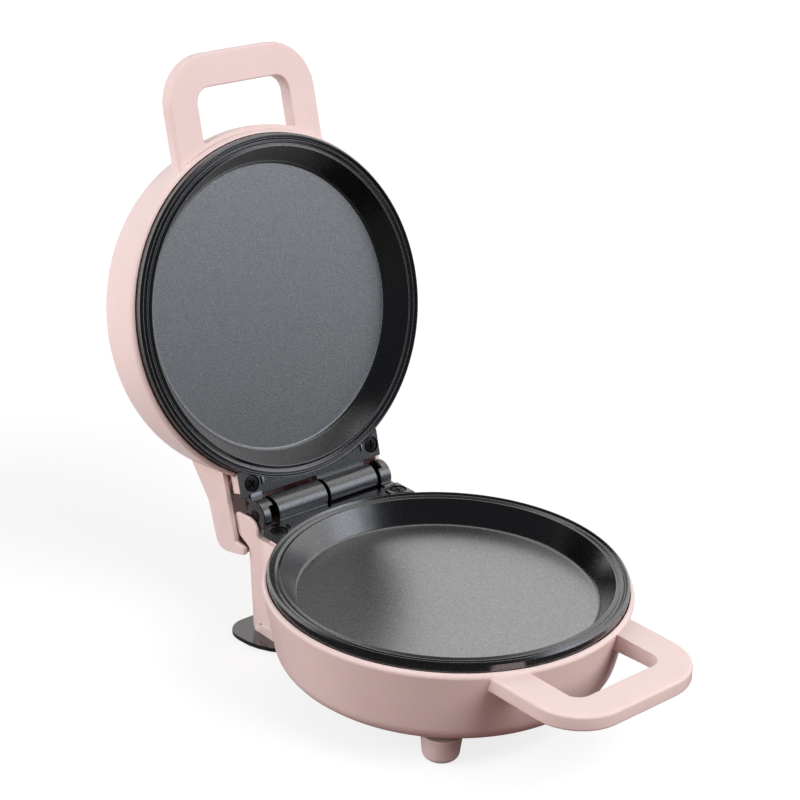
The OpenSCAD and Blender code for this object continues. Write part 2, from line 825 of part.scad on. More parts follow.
// Flare from the round wall to the housing's left side, widest at the housing's top
module side_flare() {
    flare_y = plate_r + flare_reach;
    wall_top = wall_r(lid_out, lid_draft, housing_top);
    wall_low = wall_r(lid_out, lid_draft, -cheek_drop);
    low_y = sqrt(wall_low * wall_low - cheek_out * cheek_out);
    hull() {
        translate([0, 0, housing_top]) linear_extrude(0.02) polygon([
            [-wall_top * sin(flare_turn), wall_top * cos(flare_turn)],
            [-housing_in, wall_top * cos(flare_turn)],
            [-side_x(housing_top), flare_y]
        ]);
        translate([0, 0, -cheek_drop - 0.8]) linear_extrude(0.02) polygon([
            [-side_x(-cheek_drop - 0.8), low_y],
            [-housing_in, low_y],
            [-side_x(-cheek_drop - 0.8), flare_y]
        ]);
    }
}

module housing_body() {
    intersection() {
        across(-cheek_out, cheek_out) polygon(housing_side);
        along(plate_r / 2, lid_back_y) polygon([
            [-cheek_out, rim_h],
            [-cheek_out, -cheek_drop],
            [-side_x(-lid_depth), -lid_depth],
            [side_x(-lid_depth), -lid_depth],
            [cheek_out, -cheek_drop],
            [cheek_out, rim_h]
        ]);
    }
    for (s = [0, 1]) mirror([s, 0, 0]) side_flare();
}

// Right cheek beside the ear, risen to the rim
module risen_cheek() {
    across(cheek_in, cheek_out) polygon(outline([
        [plate_r - 7.5, -cheek_drop - 1, 0],
        [plate_r - 7.5, rim_z, 0],
        [hinge_y + 0.5, rim_z, 1.5],
        [hinge_y + 1.5, -cheek_drop - 1, 0]
    ]));
}

// Space inside the housing, full width only where the tower's lobes turn
module housing_space() {
    across(-housing_in, housing_in) polygon(housing_hollow);
    intersection() {
        across(-cheek_in, cheek_in) polygon(housing_hollow);
        translate([-rim_h, 0, -cheek_drop - 2]) cube([2 * rim_h, 2 * plate_r, rim_h]);
    }
}

// Outer form of the lid's round part
module lid_round_body() {
    round_body(lid_out, lid_draft, lid_depth, lid_round, lid_crown);
}

module lamp_seats(r, h) {
    for (s = sides) translate([s * lamp_x, -lamp_y, -lid_depth - lid_crown + h[0]])
        cylinder(r = r, h = h[1] - h[0]);
}

module lid_shell() {
    color(shell_pink) on_lid() difference() {
        union() {
            translate([0, 0, -lid_grip_drop]) grip_loop(lid_grip_web);
            lid_round_body();
            housing_body();
            risen_cheek();
            ear_posts();
        }
        difference() {
            round_cavity(lid_out, lid_draft, lid_depth, lid_round, lid_crown);
            lamp_seats(lens_r + 1.2, [0, wall + 2]);
        }
        // Housing behind the round wall, open towards the hinge
        difference() {
            housing_space();
            lid_round_body();
            ear_posts();
        }
        // Notch in the rim for the ears
        difference() {
            translate([-cheek_in, plate_r / 2, shelf_z])
                cube([2 * cheek_in, plate_r, shelf_drop + 2]);
            ear_posts();
        }
        at_ear_screws() translate([0, 0, -ear_t - ear_screw_l - 2])
            cylinder(r = pilot_r, h = ear_screw_l + 3);
        lamp_seats(lens_r + lens_gap, [-1, wall + 4]);
    }
}

// ---------------------------------------------------------------- base pieces

module bottom_cover() {
    color(cover_grey) on_base() difference() {
        rotate_extrude($fn = 128) polygon(outline([
            [0, -bowl_depth, 0],
            [cover_r, -bowl_depth, 0.3],
            [cover_r, cover_z, 1.4],
            [0, cover_z, 0]
        ]));
        translate([-tower_half_w - cover_gap, tower_front - cover_gap, cover_z - 1])
            cube([2 * (tower_half_w + cover_gap), plate_r, cover_t + 2]);
        at_cover_screws() translate([0, 0, -cover_t - 1]) {
            cylinder(r = screw_r + 0.2, h = cover_t + 2);
            cylinder(r = base_head_r + 0.3, h = 1 + screw_head_h);
        }
        for (s = sides) translate([s * foot_x, -foot_y, cover_z - 1])
            cylinder(r = foot_stem_r + foot_stem_gap, h = cover_t + 2);
    }
}

module front_feet() {
    foot_h = cover_z - floor_z;
    color(shell_pink) on_base() for (s = sides)
        translate([s * foot_x, -foot_y, floor_z]) {
            rotate_extrude($fn = 64) polygon(outline([
                [0, 0, 0],
                [foot_end_r - 0.2, 0, foot_round],
                [foot_r, foot_h, 0.6],
                [0, foot_h, 0]
            ]));
            cylinder(r = foot_stem_r, h = foot_h + foot_stem_l);
        }
}

module stand_plan() {
    polygon(outline([
        [-stand_half_w, stand_front, stand_front_round],
        [stand_half_w, stand_front, stand_front_round],
        [stand_half_w, stand_back, stand_round],
        [-stand_half_w, stand_back, stand_round]
    ]));
}

module stand_plate() {
    color(gloss_black) on_base() difference() {
        translate([0, 0, tower_bottom - stand_t]) linear_extrude(stand_t) stand_plan();
        at_stand_screws() translate([0, 0, -stand_t - 1]) {
            cylinder(r = screw_r + 0.2, h = stand_t + 2);
            cylinder(r = base_head_r + 0.3, h = 1 + screw_head_h);
        }
    }
}

module stand_pads() {
    color(rubber_black) on_base() for (s = sides) {
        translate([s * (stand_half_w - pad_inset), stand_back - pad_inset, floor_z])
            cylinder(r = pad_r, h = pad_t);
        translate([s * (stand_half_w - front_pad_inset), stand_front + front_pad_inset, floor_z])
            cylinder(r = pad_r, h = pad_t);
    }
}

module stand_screws() {
    color(bright_steel) on_base() at_stand_screws()
        translate([0, 0, -stand_t]) mirror([0, 0, 1])
            screw(base_head_r, screw_head_h, base_screw_l);
}

module cover_screws() {
    color(bright_steel) on_base() at_cover_screws()
        translate([0, 0, -cover_t]) mirror([0, 0, 1])
            screw(base_head_r, screw_head_h, base_screw_l);
}

module lower_plate() {
    color(coated_grey) on_base() pan_plate();
}

module lower_plate_screws() {
    color(gloss_black) on_base() ear_screws();
}

module lower_heater() {
    color(bright_steel) on_base() heater_ring();
}

module lower_heater_clamps() {
    color(bright_steel) on_base() clamp_strips();
}

module lower_reflector() {
    color(bright_steel) on_base() reflector_pan();
}

module lower_reflector_screws() {
    color(bright_steel) on_base() clamp_screws();
}

module thermostat() {
    color(rubber_black) on_base() translate([0, 0, plate_under - thermostat_h]) {
        cylinder(r = thermostat_r, h = thermostat_h);
        for (s = sides) translate([s * terminal_spread - 2.4, -0.4, -5]) cube([4.8, 0.8, 5 + eps]);
    }
}

module thermal_fuse() {
    color(ceramic_white) on_base() translate([0, -fuse_y, plate_under - fuse_r])
        rotate([0, 90, 0]) cylinder(r = fuse_r, h = fuse_l, center = true, $fn = 32);
}

module terminal_block() {
    block_w = 9;
    way_r = 2;
    color(ceramic_white) on_base()
        translate([-block_l / 2, tower_front + wall + 1, tower_bottom]) difference() {
            cube([block_l, block_w, block_h]);
            for (i = [0:2]) translate([block_l * (i + 0.5) / 3, -1, block_h / 2])
                rotate([-90, 0, 0]) cylinder(r = way_r, h = block_w + 2, $fn = 32);
        }
}

module cord_gland() {
    color(rubber_black) on_base() at_gland() difference() {
        union() {
            cylinder(r = gland_flange_r, h = 1.6);
            translate([0, 0, -wall - 1.4]) cylinder(r = gland_neck_r, h = wall + 2);
            translate([0, 0, -wall - 1.6]) cylinder(r = gland_flange_r, h = 1.5);
        }
        translate([0, 0, -2 * wall - 2]) cylinder(r = gland_bore_r, h = 4 * wall + 4);
    }
}

module hinge_pin() {
    color(bright_steel) on_base() across(-hinge_half_w, hinge_half_w)
        translate([hinge_y, hinge_z]) circle(r = pin_r);
}

// ---------------------------------------------------------------- lid pieces

module upper_plate() {
    color(coated_grey) flipped_on_lid() pan_plate();
}

module upper_plate_screws() {
    color(gloss_black) flipped_on_lid() ear_screws();
}

module upper_heater() {
    color(bright_steel) on_lid() heater_ring();
}

module upper_heater_clamps() {
    color(bright_steel) flipped_on_lid() clamp_strips();
}

module upper_reflector() {
    color(bright_steel) flipped_on_lid() reflector_pan();
}

module upper_reflector_screws() {
    color(bright_steel) flipped_on_lid() clamp_screws();
}

module indicator_lenses() {
    color("#c8452f") on_lid() for (s = sides)
        translate([s * lamp_x, -lamp_y, lens_z]) cylinder(r = lens_r, h = lens_h);
}

module indicator_lamps() {
    color(ceramic_white) on_lid() for (s = sides)
        translate([s * lamp_x, -lamp_y, lens_z + lens_h]) cylinder(r = lamp_r, h = lamp_h, $fn = 32);
}

// Reach of the opened lid behind the pan axis, at the round corner of its front edge
lid_corner = arc_centre(
    [wall_r(lid_out, lid_draft, rim_z), rim_z],
    [wall_r(lid_out, lid_draft, -lid_depth), -lid_depth],
    [0, -lid_depth - lid_crown],
    lid_round
);
lid_reach = hinge_y - (lid_corner[0] + hinge_y) * cos(lid_open)
    + (hinge_z - lid_corner[1]) * sin(lid_open) + lid_round;

// Pan axis placed so that the machine's footprint, lid open, is centred on the origin
pan_y = (plate_r + grip_reach - lid_reach) / 2;

base_shell();
bottom_cover();
front_feet();
stand_plate();
stand_pads();
stand_screws();
cover_screws();
lower_plate();
lower_plate_screws();
lower_heater();
lower_heater_clamps();
lower_reflector();
lower_reflector_screws();
thermostat();
thermal_fuse();
terminal_block();
cord_gland();
hinge_pin();
lid_shell();
upper_plate();
upper_plate_screws();
upper_heater();
upper_heater_clamps();
upper_reflector();
upper_reflector_screws();
indicator_lenses();
indicator_lamps();
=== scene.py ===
"""Finishes a small hinged table-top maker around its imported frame, and sets up a plain studio.

Laid out as an add-on: sizes and colours are properties, each piece has an operator, and the
panel in the 3D view's sidebar lists them. Run as a script, it makes everything once.
"""
import json
from math import atan2, cos, pi, radians, sin

import bmesh
import bpy
from mathutils import Matrix, Vector
from mathutils.bvhtree import BVHTree
from mathutils.kdtree import KDTree


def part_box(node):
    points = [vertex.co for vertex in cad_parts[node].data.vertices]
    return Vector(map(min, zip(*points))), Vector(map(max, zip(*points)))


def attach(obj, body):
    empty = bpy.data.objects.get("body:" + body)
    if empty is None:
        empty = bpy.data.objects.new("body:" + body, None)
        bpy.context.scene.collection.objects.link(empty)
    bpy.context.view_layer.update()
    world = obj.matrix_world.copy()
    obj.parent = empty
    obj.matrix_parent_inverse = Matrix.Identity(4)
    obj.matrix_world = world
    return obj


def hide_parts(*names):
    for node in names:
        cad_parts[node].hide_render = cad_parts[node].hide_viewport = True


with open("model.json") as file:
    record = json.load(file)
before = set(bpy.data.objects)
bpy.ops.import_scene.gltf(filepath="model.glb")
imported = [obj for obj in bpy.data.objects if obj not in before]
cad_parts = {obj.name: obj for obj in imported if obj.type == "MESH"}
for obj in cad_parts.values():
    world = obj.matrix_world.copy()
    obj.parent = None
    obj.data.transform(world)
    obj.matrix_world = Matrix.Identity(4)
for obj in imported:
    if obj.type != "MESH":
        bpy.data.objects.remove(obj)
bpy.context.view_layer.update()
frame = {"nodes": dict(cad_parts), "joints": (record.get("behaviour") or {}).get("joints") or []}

bl_info = {
    "name": "Loop-handle pan maker",
    "version": (1, 0, 0),
    "blender": (4, 5, 0),
    "location": "3D View > Sidebar > Pan Maker",
    "description": "Finishes the shells, plates, hinge and fittings of a hinged pan maker",
    "category": "Object",
}

MM = 0.001
HINGE = Vector(frame["joints"][0]["pos_m"])
LID_OPEN = radians(max(frame["joints"][0]["range_deg"]))
PLATE_LOW, PLATE_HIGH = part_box("lower_plate")
PLATE_RADIUS = (PLATE_HIGH.x - PLATE_LOW.x) / 2

# Rounding of edges
SAME_PLACE = 0.002 * MM     # corners closer than this are merged
SAME_PLANE = radians(0.4)   # faces that bend less than this are joined
SHARP_BEND = radians(28)    # edges that bend more than this are rounded
SMOOTH_BEND = radians(40)   # edges that bend less than this are shaded smooth
TRIES = 6                   # tries at rounding a mesh before its last one is kept
FINER = 0.3                 # share of its width that an edge keeps where a corner came out wrong
FINEST = 0.04 * MM          # edges that would be finer than this stay sharp

# The small slot in the tower's left side, along Y and above the stand plate
TOWER_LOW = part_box("stand_plate")[1].z
TOWER_LEFT = -28.9 * MM
SLOT_MIDDLE = (40.85 * MM, 3.45 * MM)
SLOT_HALF = (2.6 * MM, 0.7 * MM)

# Zones of a cooking plate, each with its own finish
PAN_FLOOR, CASTING, UNDERSIDE = range(3)

# Directions and places in the room, from the middle of the floor
AWAY = (0.67, 0.74, 0)            # level, away from the camera
PANEL = (0.58, -0.66, 0.47)
PANEL_GLOW = (0.59, -0.73, 0.28)
KEY_PLACE = (0.31, -0.86, 0.83)
SIDE_PLACE = (-1.04, 0.48, 0.42)
LAMP_TARGET = (0, 0, 0.06)

# Colours of the room in the coating's reflections
DARK_ROOM = (0.045, 0.046, 0.05)
GLOW_GREY = (0.5, 0.53, 0.57)
PANEL_WHITE = (1.5, 1.58, 1.7)
WARM_WHITE = (1, 0.975, 0.965)
WHITE = (1, 1, 1)


# ---------------------------------------------------------------- properties

class MakerSizes(bpy.types.PropertyGroup):
    """Sizes of the finish that a user would change"""
    shell_edge: bpy.props.FloatProperty(
        name="Shell edge", description="Radius of the small rounded edges of the mouldings",
        default=0.6 * MM, min=0.1 * MM, max=1.2 * MM, subtype="DISTANCE", unit="LENGTH")
    casting_edge: bpy.props.FloatProperty(
        name="Casting edge", description="Radius of the rounded edges of the cooking plates",
        default=0.3 * MM, min=0.1 * MM, max=0.6 * MM, subtype="DISTANCE", unit="LENGTH")
    fitting_edge: bpy.props.FloatProperty(
        name="Fitting edge", description="Radius of the edges of covers, blocks and straps",
        default=0.25 * MM, min=0.05 * MM, max=0.5 * MM, subtype="DISTANCE", unit="LENGTH")
    crest_rise: bpy.props.FloatProperty(
        name="Hinge rise", description="Height of the hinge axis above the crest ring",
        default=1.5 * MM, subtype="DISTANCE", unit="LENGTH")
    pan_depth: bpy.props.FloatProperty(
        name="Pan depth", description="Depth of a pan's floor below its crest ring",
        default=8.6 * MM, subtype="DISTANCE", unit="LENGTH")
    head_dome: bpy.props.FloatProperty(
        name="Head dome", description="Fall of a screw's head from its middle to its rim",
        default=0.25 * MM, min=0, max=0.5 * MM, subtype="DISTANCE", unit="LENGTH")
    edge_turns: bpy.props.IntProperty(
        name="Edge steps", description="Number of faces across a rounded edge",
        default=3, min=1, max=6)


class MakerColours(bpy.types.PropertyGroup):
    """Colours of the finishes"""
    shell: bpy.props.FloatVectorProperty(
        name="Shell", description="Pink of the mouldings", subtype="COLOR",
        size=3, default=(0.83, 0.65, 0.625), min=0, max=1)
    pan_floor: bpy.props.FloatVectorProperty(
        name="Pan floor", description="Flake grey of the pans' floors", subtype="COLOR",
        size=3, default=(0.35, 0.353, 0.36), min=0, max=1)
    # The same flake coating as the pans' floors, made darker: painted shade on the pans' walls,
    # rings, ears and barrels
    casting: bpy.props.FloatVectorProperty(
        name="Casting", description="Darker flake grey of the rings, ears and barrels",
        subtype="COLOR", size=3, default=(0.2, 0.203, 0.21), min=0, max=1)
    cover: bpy.props.FloatVectorProperty(
        name="Cover", description="Grey-brown of the bottom cover", subtype="COLOR",
        size=3, default=(0.055, 0.045, 0.044), min=0, max=1)
    stand: bpy.props.FloatVectorProperty(
        name="Stand", description="Gloss black of the stand plate", subtype="COLOR",
        size=3, default=(0.012, 0.011, 0.012), min=0, max=1)
    lens: bpy.props.FloatVectorProperty(
        name="Lens", description="Red of the indicators' lenses", subtype="COLOR",
        size=3, default=(0.62, 0.05, 0.03), min=0, max=1)


class MakerStudio(bpy.types.PropertyGroup):
    """Camera and backdrop"""
    lens: bpy.props.FloatProperty(
        name="Lens", description="Focal length in millimetres on a 36 mm sensor",
        default=94.45, min=10, max=300)
    camera_place: bpy.props.FloatVectorProperty(
        name="Camera place", description="Camera from the lower plate's crest centre",
        subtype="XYZ", unit="LENGTH", size=3, default=(-0.41748, -0.43695, 0.32139))
    sky: bpy.props.FloatProperty(
        name="Room light", description="Strength of the even light of the room",
        default=0.18, min=0, max=2)
    key: bpy.props.FloatProperty(
        name="Key light", description="Power of the large soft box", default=15.4, min=0,
        max=60, unit="POWER")
    fill: bpy.props.FloatProperty(
        name="Fill light", description="Power of the soft box on the other side",
        default=14.2, min=0, max=60, unit="POWER")


def sizes():
    return bpy.context.scene.maker_sizes


def colours():
    return bpy.context.scene.maker_colours


def crest(body):
    """Centre and outward direction of a cooking plate's crest ring."""
    centre = Vector((0, PLATE_LOW.y + PLATE_RADIUS, HINGE.z - sizes().crest_rise))
    if body == "base":
        return centre, Vector((0, 0, 1))
    turn = Matrix.Rotation(-LID_OPEN, 3, "X")
    down = Vector((0, 0, -1))
    arm = Vector((centre.x, centre.y, HINGE.z + sizes().crest_rise)) - HINGE
    return HINGE + turn @ arm, turn @ down


# ---------------------------------------------------------------- mesh helpers

def clean_copy(node, name):
    """A copy of a CAD node's mesh, its flat faces joined, ready for its edges to be rounded."""
    mesh = frame["nodes"][node].data.copy()
    mesh.name = name
    mesh.materials.clear()
    work = bmesh.new()
    work.from_mesh(mesh)
    bmesh.ops.remove_doubles(work, verts=work.verts, dist=SAME_PLACE)
    bmesh.ops.dissolve_degenerate(work, edges=work.edges, dist=SAME_PLACE)
    bmesh.ops.dissolve_limit(
        work, angle_limit=SAME_PLANE, use_dissolve_boundaries=False,
        verts=work.verts, edges=work.edges, delimit={"NORMAL"})
    return mesh, work


def bevelled(work, widths, steps):
    """A copy of a mesh with its edges rounded, each by the width given for its index."""
    trial = work.copy()
    trial.edges.ensure_lookup_table()
    groups = {}
    for index, width in widths.items():
        groups.setdefault(round(width, 6), []).append(trial.edges[index])
    for width in sorted(groups, reverse=True):
        live = [edge for edge in groups[width] if edge.is_valid]
        bmesh.ops.bevel(
            trial, geom=live, offset=width, offset_type="OFFSET", segments=steps,
            profile=0.5, affect="EDGES", clamp_overlap=False, miter_outer="ARC",
            loop_slide=True, harden_normals=False, material=-1)
    return trial


def thrown_corners(trial, surface, limit):
    """Corners of a rounded mesh that left the surface, or whose face was turned over."""
    thrown = {v for v in trial.verts if surface.find_nearest(v.co)[3] > limit}
    for face in trial.faces:
        if len(face.verts) < 6 and face.calc_area() > 1e-9:
            normal = surface.find_nearest(face.calc_center_median())[1]
            if normal.dot(face.normal) < -0.5:
                thrown.update(face.verts)
    return thrown


def roots_of(thrown, corners):
    """Indices of the unrounded mesh's corners that the thrown ones grew from."""
    found = set()
    for vert in thrown:
        held = [edge.other_vert(vert) for edge in vert.link_edges]
        held = [other for other in held if other not in thrown] or [vert]
        found.update(corners.find(other.co)[1] for other in held)
    return found


def round_edges(work, width_of, steps):
    """Rounds the sharp edges of a mesh by the width that width_of gives each of them.

    Where a round would throw a corner off the surface, the edges that meet there get a finer
    one, or stay sharp.
    """
    widths = {}
    for edge in work.edges:
        if len(edge.link_faces) == 2 and edge.calc_face_angle(0) > SHARP_BEND:
            width = width_of(edge)
            if width > 0:
                widths[edge.index] = width
    if not widths:
        return work
    work.edges.ensure_lookup_table()
    work.verts.ensure_lookup_table()
    surface = BVHTree.FromBMesh(work)
    ends = sorted({v.index for index in widths for v in work.edges[index].verts})
    corners = KDTree(len(ends))
    for end in ends:
        corners.insert(work.verts[end].co, end)
    corners.balance()
    for attempt in range(1, TRIES + 1):
        trial = bevelled(work, widths, steps)
        thrown = thrown_corners(trial, surface, 1.15 * max(widths.values()))
        if not thrown or attempt == TRIES:
            break
        roots = roots_of(thrown, corners)
        for index in {e.index for root in roots for e in work.verts[root].link_edges}:
            if index in widths:
                widths[index] *= FINER
                if widths[index] < FINEST:
                    del widths[index]
        trial.free()
    work.free()
    return trial


def set_piece(mesh, name, body, node):
    """Puts a finished mesh in the scene in place of its CAD node."""
    piece = bpy.data.objects.new(name, mesh)
    bpy.context.scene.collection.objects.link(piece)
    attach(piece, body)
    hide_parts(node)
    return piece


def shade_mesh(mesh, bend=SMOOTH_BEND):
    """Shades a mesh smooth, but for its edges that bend more."""
    mesh.shade_smooth()
    mesh.set_sharp_from_angle(angle=bend)


def moulding(node, body, finishes, width, zone_of=None):
    """A CAD node's shape with rounded edges, each face in the finish that zone_of picks."""
    mesh, work = clean_copy(node, node + "_finished")
    width_of = width if callable(width) else (lambda edge: width)
    work = round_edges(work, width_of, sizes().edge_turns)
    if zone_of:
        for face in work.faces:
            face.material_index = zone_of(face)
    work.to_mesh(mesh)
    work.free()
    mesh.validate()
    for finish in finishes:
        mesh.materials.append(finish)
    shade_mesh(mesh)
    piece = set_piece(mesh, node + "_finished", body, node)
    weighted = piece.modifiers.new("Face weighted shading", "WEIGHTED_NORMAL")
    weighted.keep_sharp = True
    return piece


def islands(node):
    """The separate solids of a CAD node, each as a list of its corners."""
    work = bmesh.new()
    work.from_mesh(frame["nodes"][node].data)
    bmesh.ops.remove_doubles(work, verts=work.verts, dist=SAME_PLACE)
    left = set(work.verts)
    found = []
    while left:
        stack = [left.pop()]
        solid = []
        while stack:
            corner = stack.pop()
            solid.append(corner.co.copy())
            for edge in corner.link_edges:
                other = edge.other_vert(corner)
                if other in left:
                    left.remove(other)
                    stack.append(other)
        found.append(solid)
    work.free()
    return sorted(found, key=lambda solid: (round(solid[0].x, 4), round(solid[0].y, 4)))


def axis_place(solid, axis):
    """Top centre, widest radius and length of a round solid along an axis."""
    side = axis.orthogonal().normalized()
    other = axis.cross(side)
    along = [p.dot(axis) for p in solid]
    across = [p.dot(side) for p in solid]
    over = [p.dot(other) for p in solid]
    top = (axis * max(along) + side * (min(across) + max(across)) / 2
           + other * (min(over) + max(over)) / 2)
    return top, (max(across) - min(across)) / 2, max(along) - min(along)


def turned(work, profile, foot, axis, turns=48):
    """Adds a turned solid to a mesh: profile of (radius, height) points, first and last at 0."""
    side = axis.orthogonal().normalized()
    other = axis.cross(side)
    rings = []
    for radius, height in profile:
        if radius == 0:
            rings.append([work.verts.new(foot + axis * height)])
            continue
        rings.append([
            work.verts.new(foot + axis * height + side * radius * cos(2 * pi * i / turns)
                           + other * radius * sin(2 * pi * i / turns))
            for i in range(turns)])
    for low, high in zip(rings, rings[1:]):
        for i in range(turns):
            j = (i + 1) % turns
            corners = [low[0]] if len(low) == 1 else [low[i], low[j]]
            corners += [high[0]] if len(high) == 1 else [high[j], high[i]]
            work.faces.new(corners)
    bmesh.ops.recalc_face_normals(work, faces=work.faces)


def quarter(centre_r, centre_h, radius, start, end, steps=5):
    """Points of an arc in a turned profile, angles in degrees from straight outwards."""
    return [(centre_r + radius * cos(radians(start + (end - start) * i / steps)),
             centre_h + radius * sin(radians(start + (end - start) * i / steps)))
            for i in range(steps + 1)]


def write_turned(work, name, body, node, finish):
    """Turns a mesh of turned solids into the piece that stands for its CAD node."""
    mesh = bpy.data.meshes.new(name)
    work.to_mesh(mesh)
    work.free()
    mesh.validate()
    mesh.materials.append(finish)
    shade_mesh(mesh)
    return set_piece(mesh, name, body, node)


# ---------------------------------------------------------------- finishes

def plug(tree, socket, value):
    """Sets a constant on a socket, or links an output to it."""
    if isinstance(value, bpy.types.NodeSocket):
        tree.links.new(value, socket)
    elif socket.type == "RGBA" and len(value) == 3:
        socket.default_value = (*value, 1)
    else:
        socket.default_value = value


class Wiring:
    """Small helpers over a node tree."""

    def __init__(self, tree):
        self.tree = tree

    def add(self, kind, **settings):
        node = self.tree.nodes.new(kind)
        for key, value in settings.items():
            setattr(node, key, value)
        return node

    def link(self, source, target):
        self.tree.links.new(source, target)

    def fill(self, node, **values):
        """Sets inputs of a node by name, with _ for a space."""
        for key, value in values.items():
            plug(self.tree, node.inputs[key.replace("_", " ")], value)
        return node

    def span(self, value, low, high, start=0.0, end=1.0, curve="LINEAR"):
        """Maps start..end of a value to low..high."""
        node = self.add("ShaderNodeMapRange", interpolation_type=curve, clamp=True)
        return self.fill(node, Value=value, From_Min=start, From_Max=end, To_Min=low,
                         To_Max=high).outputs["Result"]

    def blend(self, share, first, second):
        node = self.add("ShaderNodeMix", data_type="RGBA")
        for index, value in ((0, share), (6, first), (7, second)):
            plug(self.tree, node.inputs[index], value)
        return node.outputs[2]

    def spread(self, aim, axis, start, end, low=0, high=1):
        """A level that goes from low to high as a direction turns towards an axis."""
        lean = self.add("ShaderNodeVectorMath", operation="DOT_PRODUCT")
        self.link(aim, lean.inputs[0])
        lean.inputs[1].default_value = axis
        return self.span(lean.outputs["Value"], low, high, start, end, "SMOOTHSTEP")

    def shine(self, kind, colour, strength):
        """A background or an emission of a colour and a strength."""
        return self.fill(self.add(kind), Color=colour, Strength=strength).outputs[0]

    def diffuse(self, colour):
        return self.fill(self.add("ShaderNodeBsdfDiffuse"), Color=colour).outputs[0]

    def either(self, share, first, second):
        """The first shader where share is 0, the second where it is 1."""
        node = self.add("ShaderNodeMixShader")
        for socket, source in zip(node.inputs, (share, first, second)):
            self.link(source, socket)
        return node.outputs[0]

    def ray(self, kind):
        """1 for a ray of this kind, 0 for any other."""
        return self.add("ShaderNodeLightPath").outputs["Is " + kind + " Ray"]

    def seen_ray(self):
        """1 for a ray from the camera, a mirror or glass, 0 for a ray that gathers light."""
        seen = self.ray("Camera")
        for kind in ("Glossy", "Transmission"):
            most = self.add("ShaderNodeMath", operation="MAXIMUM")
            self.link(seen, most.inputs[0])
            self.link(self.ray(kind), most.inputs[1])
            seen = most.outputs[0]
        return seen


class Finish(Wiring):
    """A material under construction, placed by its piece's or its cooking plate's own axes."""

    def __init__(self, name, plate=None):
        self.material = bpy.data.materials.new(name)
        self.material.use_nodes = True
        super().__init__(self.material.node_tree)
        self.surface = self.tree.nodes["Principled BSDF"]
        self.place = self.add("ShaderNodeTexCoord").outputs["Object"]
        if plate:
            centre, up = crest(plate)
            local = self.add("ShaderNodeMapping", vector_type="TEXTURE")
            self.place = self.fill(
                local, Vector=self.place, Location=centre,
                Rotation=(atan2(-up.y, up.z), 0, 0)).outputs["Vector"]

    def base(self, **values):
        """Sets inputs of the surface shader by name."""
        self.fill(self.surface, **values)

    def stretch(self, scale):
        """The place scaled along its axes, for brushed or drawn patterns."""
        node = self.add("ShaderNodeMapping")
        return self.fill(node, Vector=self.place, Scale=scale).outputs["Vector"]

    def noise(self, scale, detail=3, rough=0.5, place=None):
        node = self.add("ShaderNodeTexNoise")
        return self.fill(node, Vector=place or self.place, Scale=scale, Detail=detail,
                         Roughness=rough).outputs["Fac"]

    def cells(self, scale, output="Color"):
        node = self.add("ShaderNodeTexVoronoi")
        return self.fill(node, Vector=self.place, Scale=scale).outputs[output]

    def rings(self, scale, bend):
        node = self.add("ShaderNodeTexWave", wave_type="RINGS", rings_direction="Z")
        return self.fill(node, Vector=self.place, Scale=scale, Distortion=bend,
                         Detail=2).outputs["Fac"]

    def bump(self, height, depth, strength=1.0):
        node = self.add("ShaderNodeBump")
        return self.fill(node, Height=height, Distance=depth,
                         Strength=strength).outputs["Normal"]


def shade(colour, factor):
    return tuple(min(1, c * factor) for c in colour)


def shell_finish():
    """Satin pink plastic with a faint pearl and a moulder's flow in its colour."""
    m = Finish("shell_plastic")
    colour = colours().shell
    flow = m.span(m.noise(45, 2), 0, 1, 0.35, 0.65)
    tint = m.blend(flow, shade(colour, 0.985), shade(colour, 1.015))
    fine = m.noise(2600, 2)
    m.base(
        Base_Color=tint,
        Roughness=m.span(m.noise(160, 3), 0.33, 0.41, 0.3, 0.7),
        Normal=m.bump(fine, 0.01 * MM, 0.35),
        Coat_Weight=0.25, Coat_Roughness=0.22,
        Subsurface_Weight=0.06, Subsurface_Scale=0.002,
        Subsurface_Radius=(1.0, 0.45, 0.35))
    return m.material


def coating_finish(name, body, colour, low, high):
    """Flake coating of a cooking plate: grey metal flakes under a thin clear film."""
    m = Finish(name + "_" + body, plate=body)
    split = m.add("ShaderNodeSeparateColor")
    m.link(m.cells(4800), split.inputs["Color"])
    fine = m.blend(split.outputs["Red"], shade(colour, 0.75), shade(colour, 1.25))
    glint = m.span(split.outputs["Blue"], 0, 0.6, 0.975, 1.0)
    m.base(
        Base_Color=m.blend(glint, fine, shade(colour, 2.0)),
        Metallic=1.0,
        Roughness=m.span(split.outputs["Green"], low, high),
        Normal=m.bump(m.noise(2600, 1, 0.5), 0.015 * MM, 0.9))
    return m.material


def raw_finish(body):
    """Bare die-cast aluminium of the plates' undersides."""
    m = Finish("raw_casting_" + body, plate=body)
    cloud = m.span(m.noise(120, 4, 0.6), 0, 1, 0.3, 0.7)
    m.base(
        Base_Color=m.blend(cloud, (0.42, 0.42, 0.43), (0.58, 0.58, 0.585)),
        Metallic=0.9,
        Roughness=m.span(m.noise(260, 3), 0.42, 0.6, 0.3, 0.7),
        Normal=m.bump(m.noise(900, 4, 0.6), 0.05 * MM, 0.5))
    return m.material


def cover_finish():
    """Dark grey moulded cover with a spark-eroded grain."""
    m = Finish("cover_plastic")
    colour = colours().cover
    m.base(
        Base_Color=m.blend(m.noise(60, 2), shade(colour, 0.9), shade(colour, 1.1)),
        Roughness=m.span(m.noise(300, 2), 0.48, 0.6),
        Normal=m.bump(m.noise(1700, 2, 0.5), 0.03 * MM, 0.6))
    return m.material


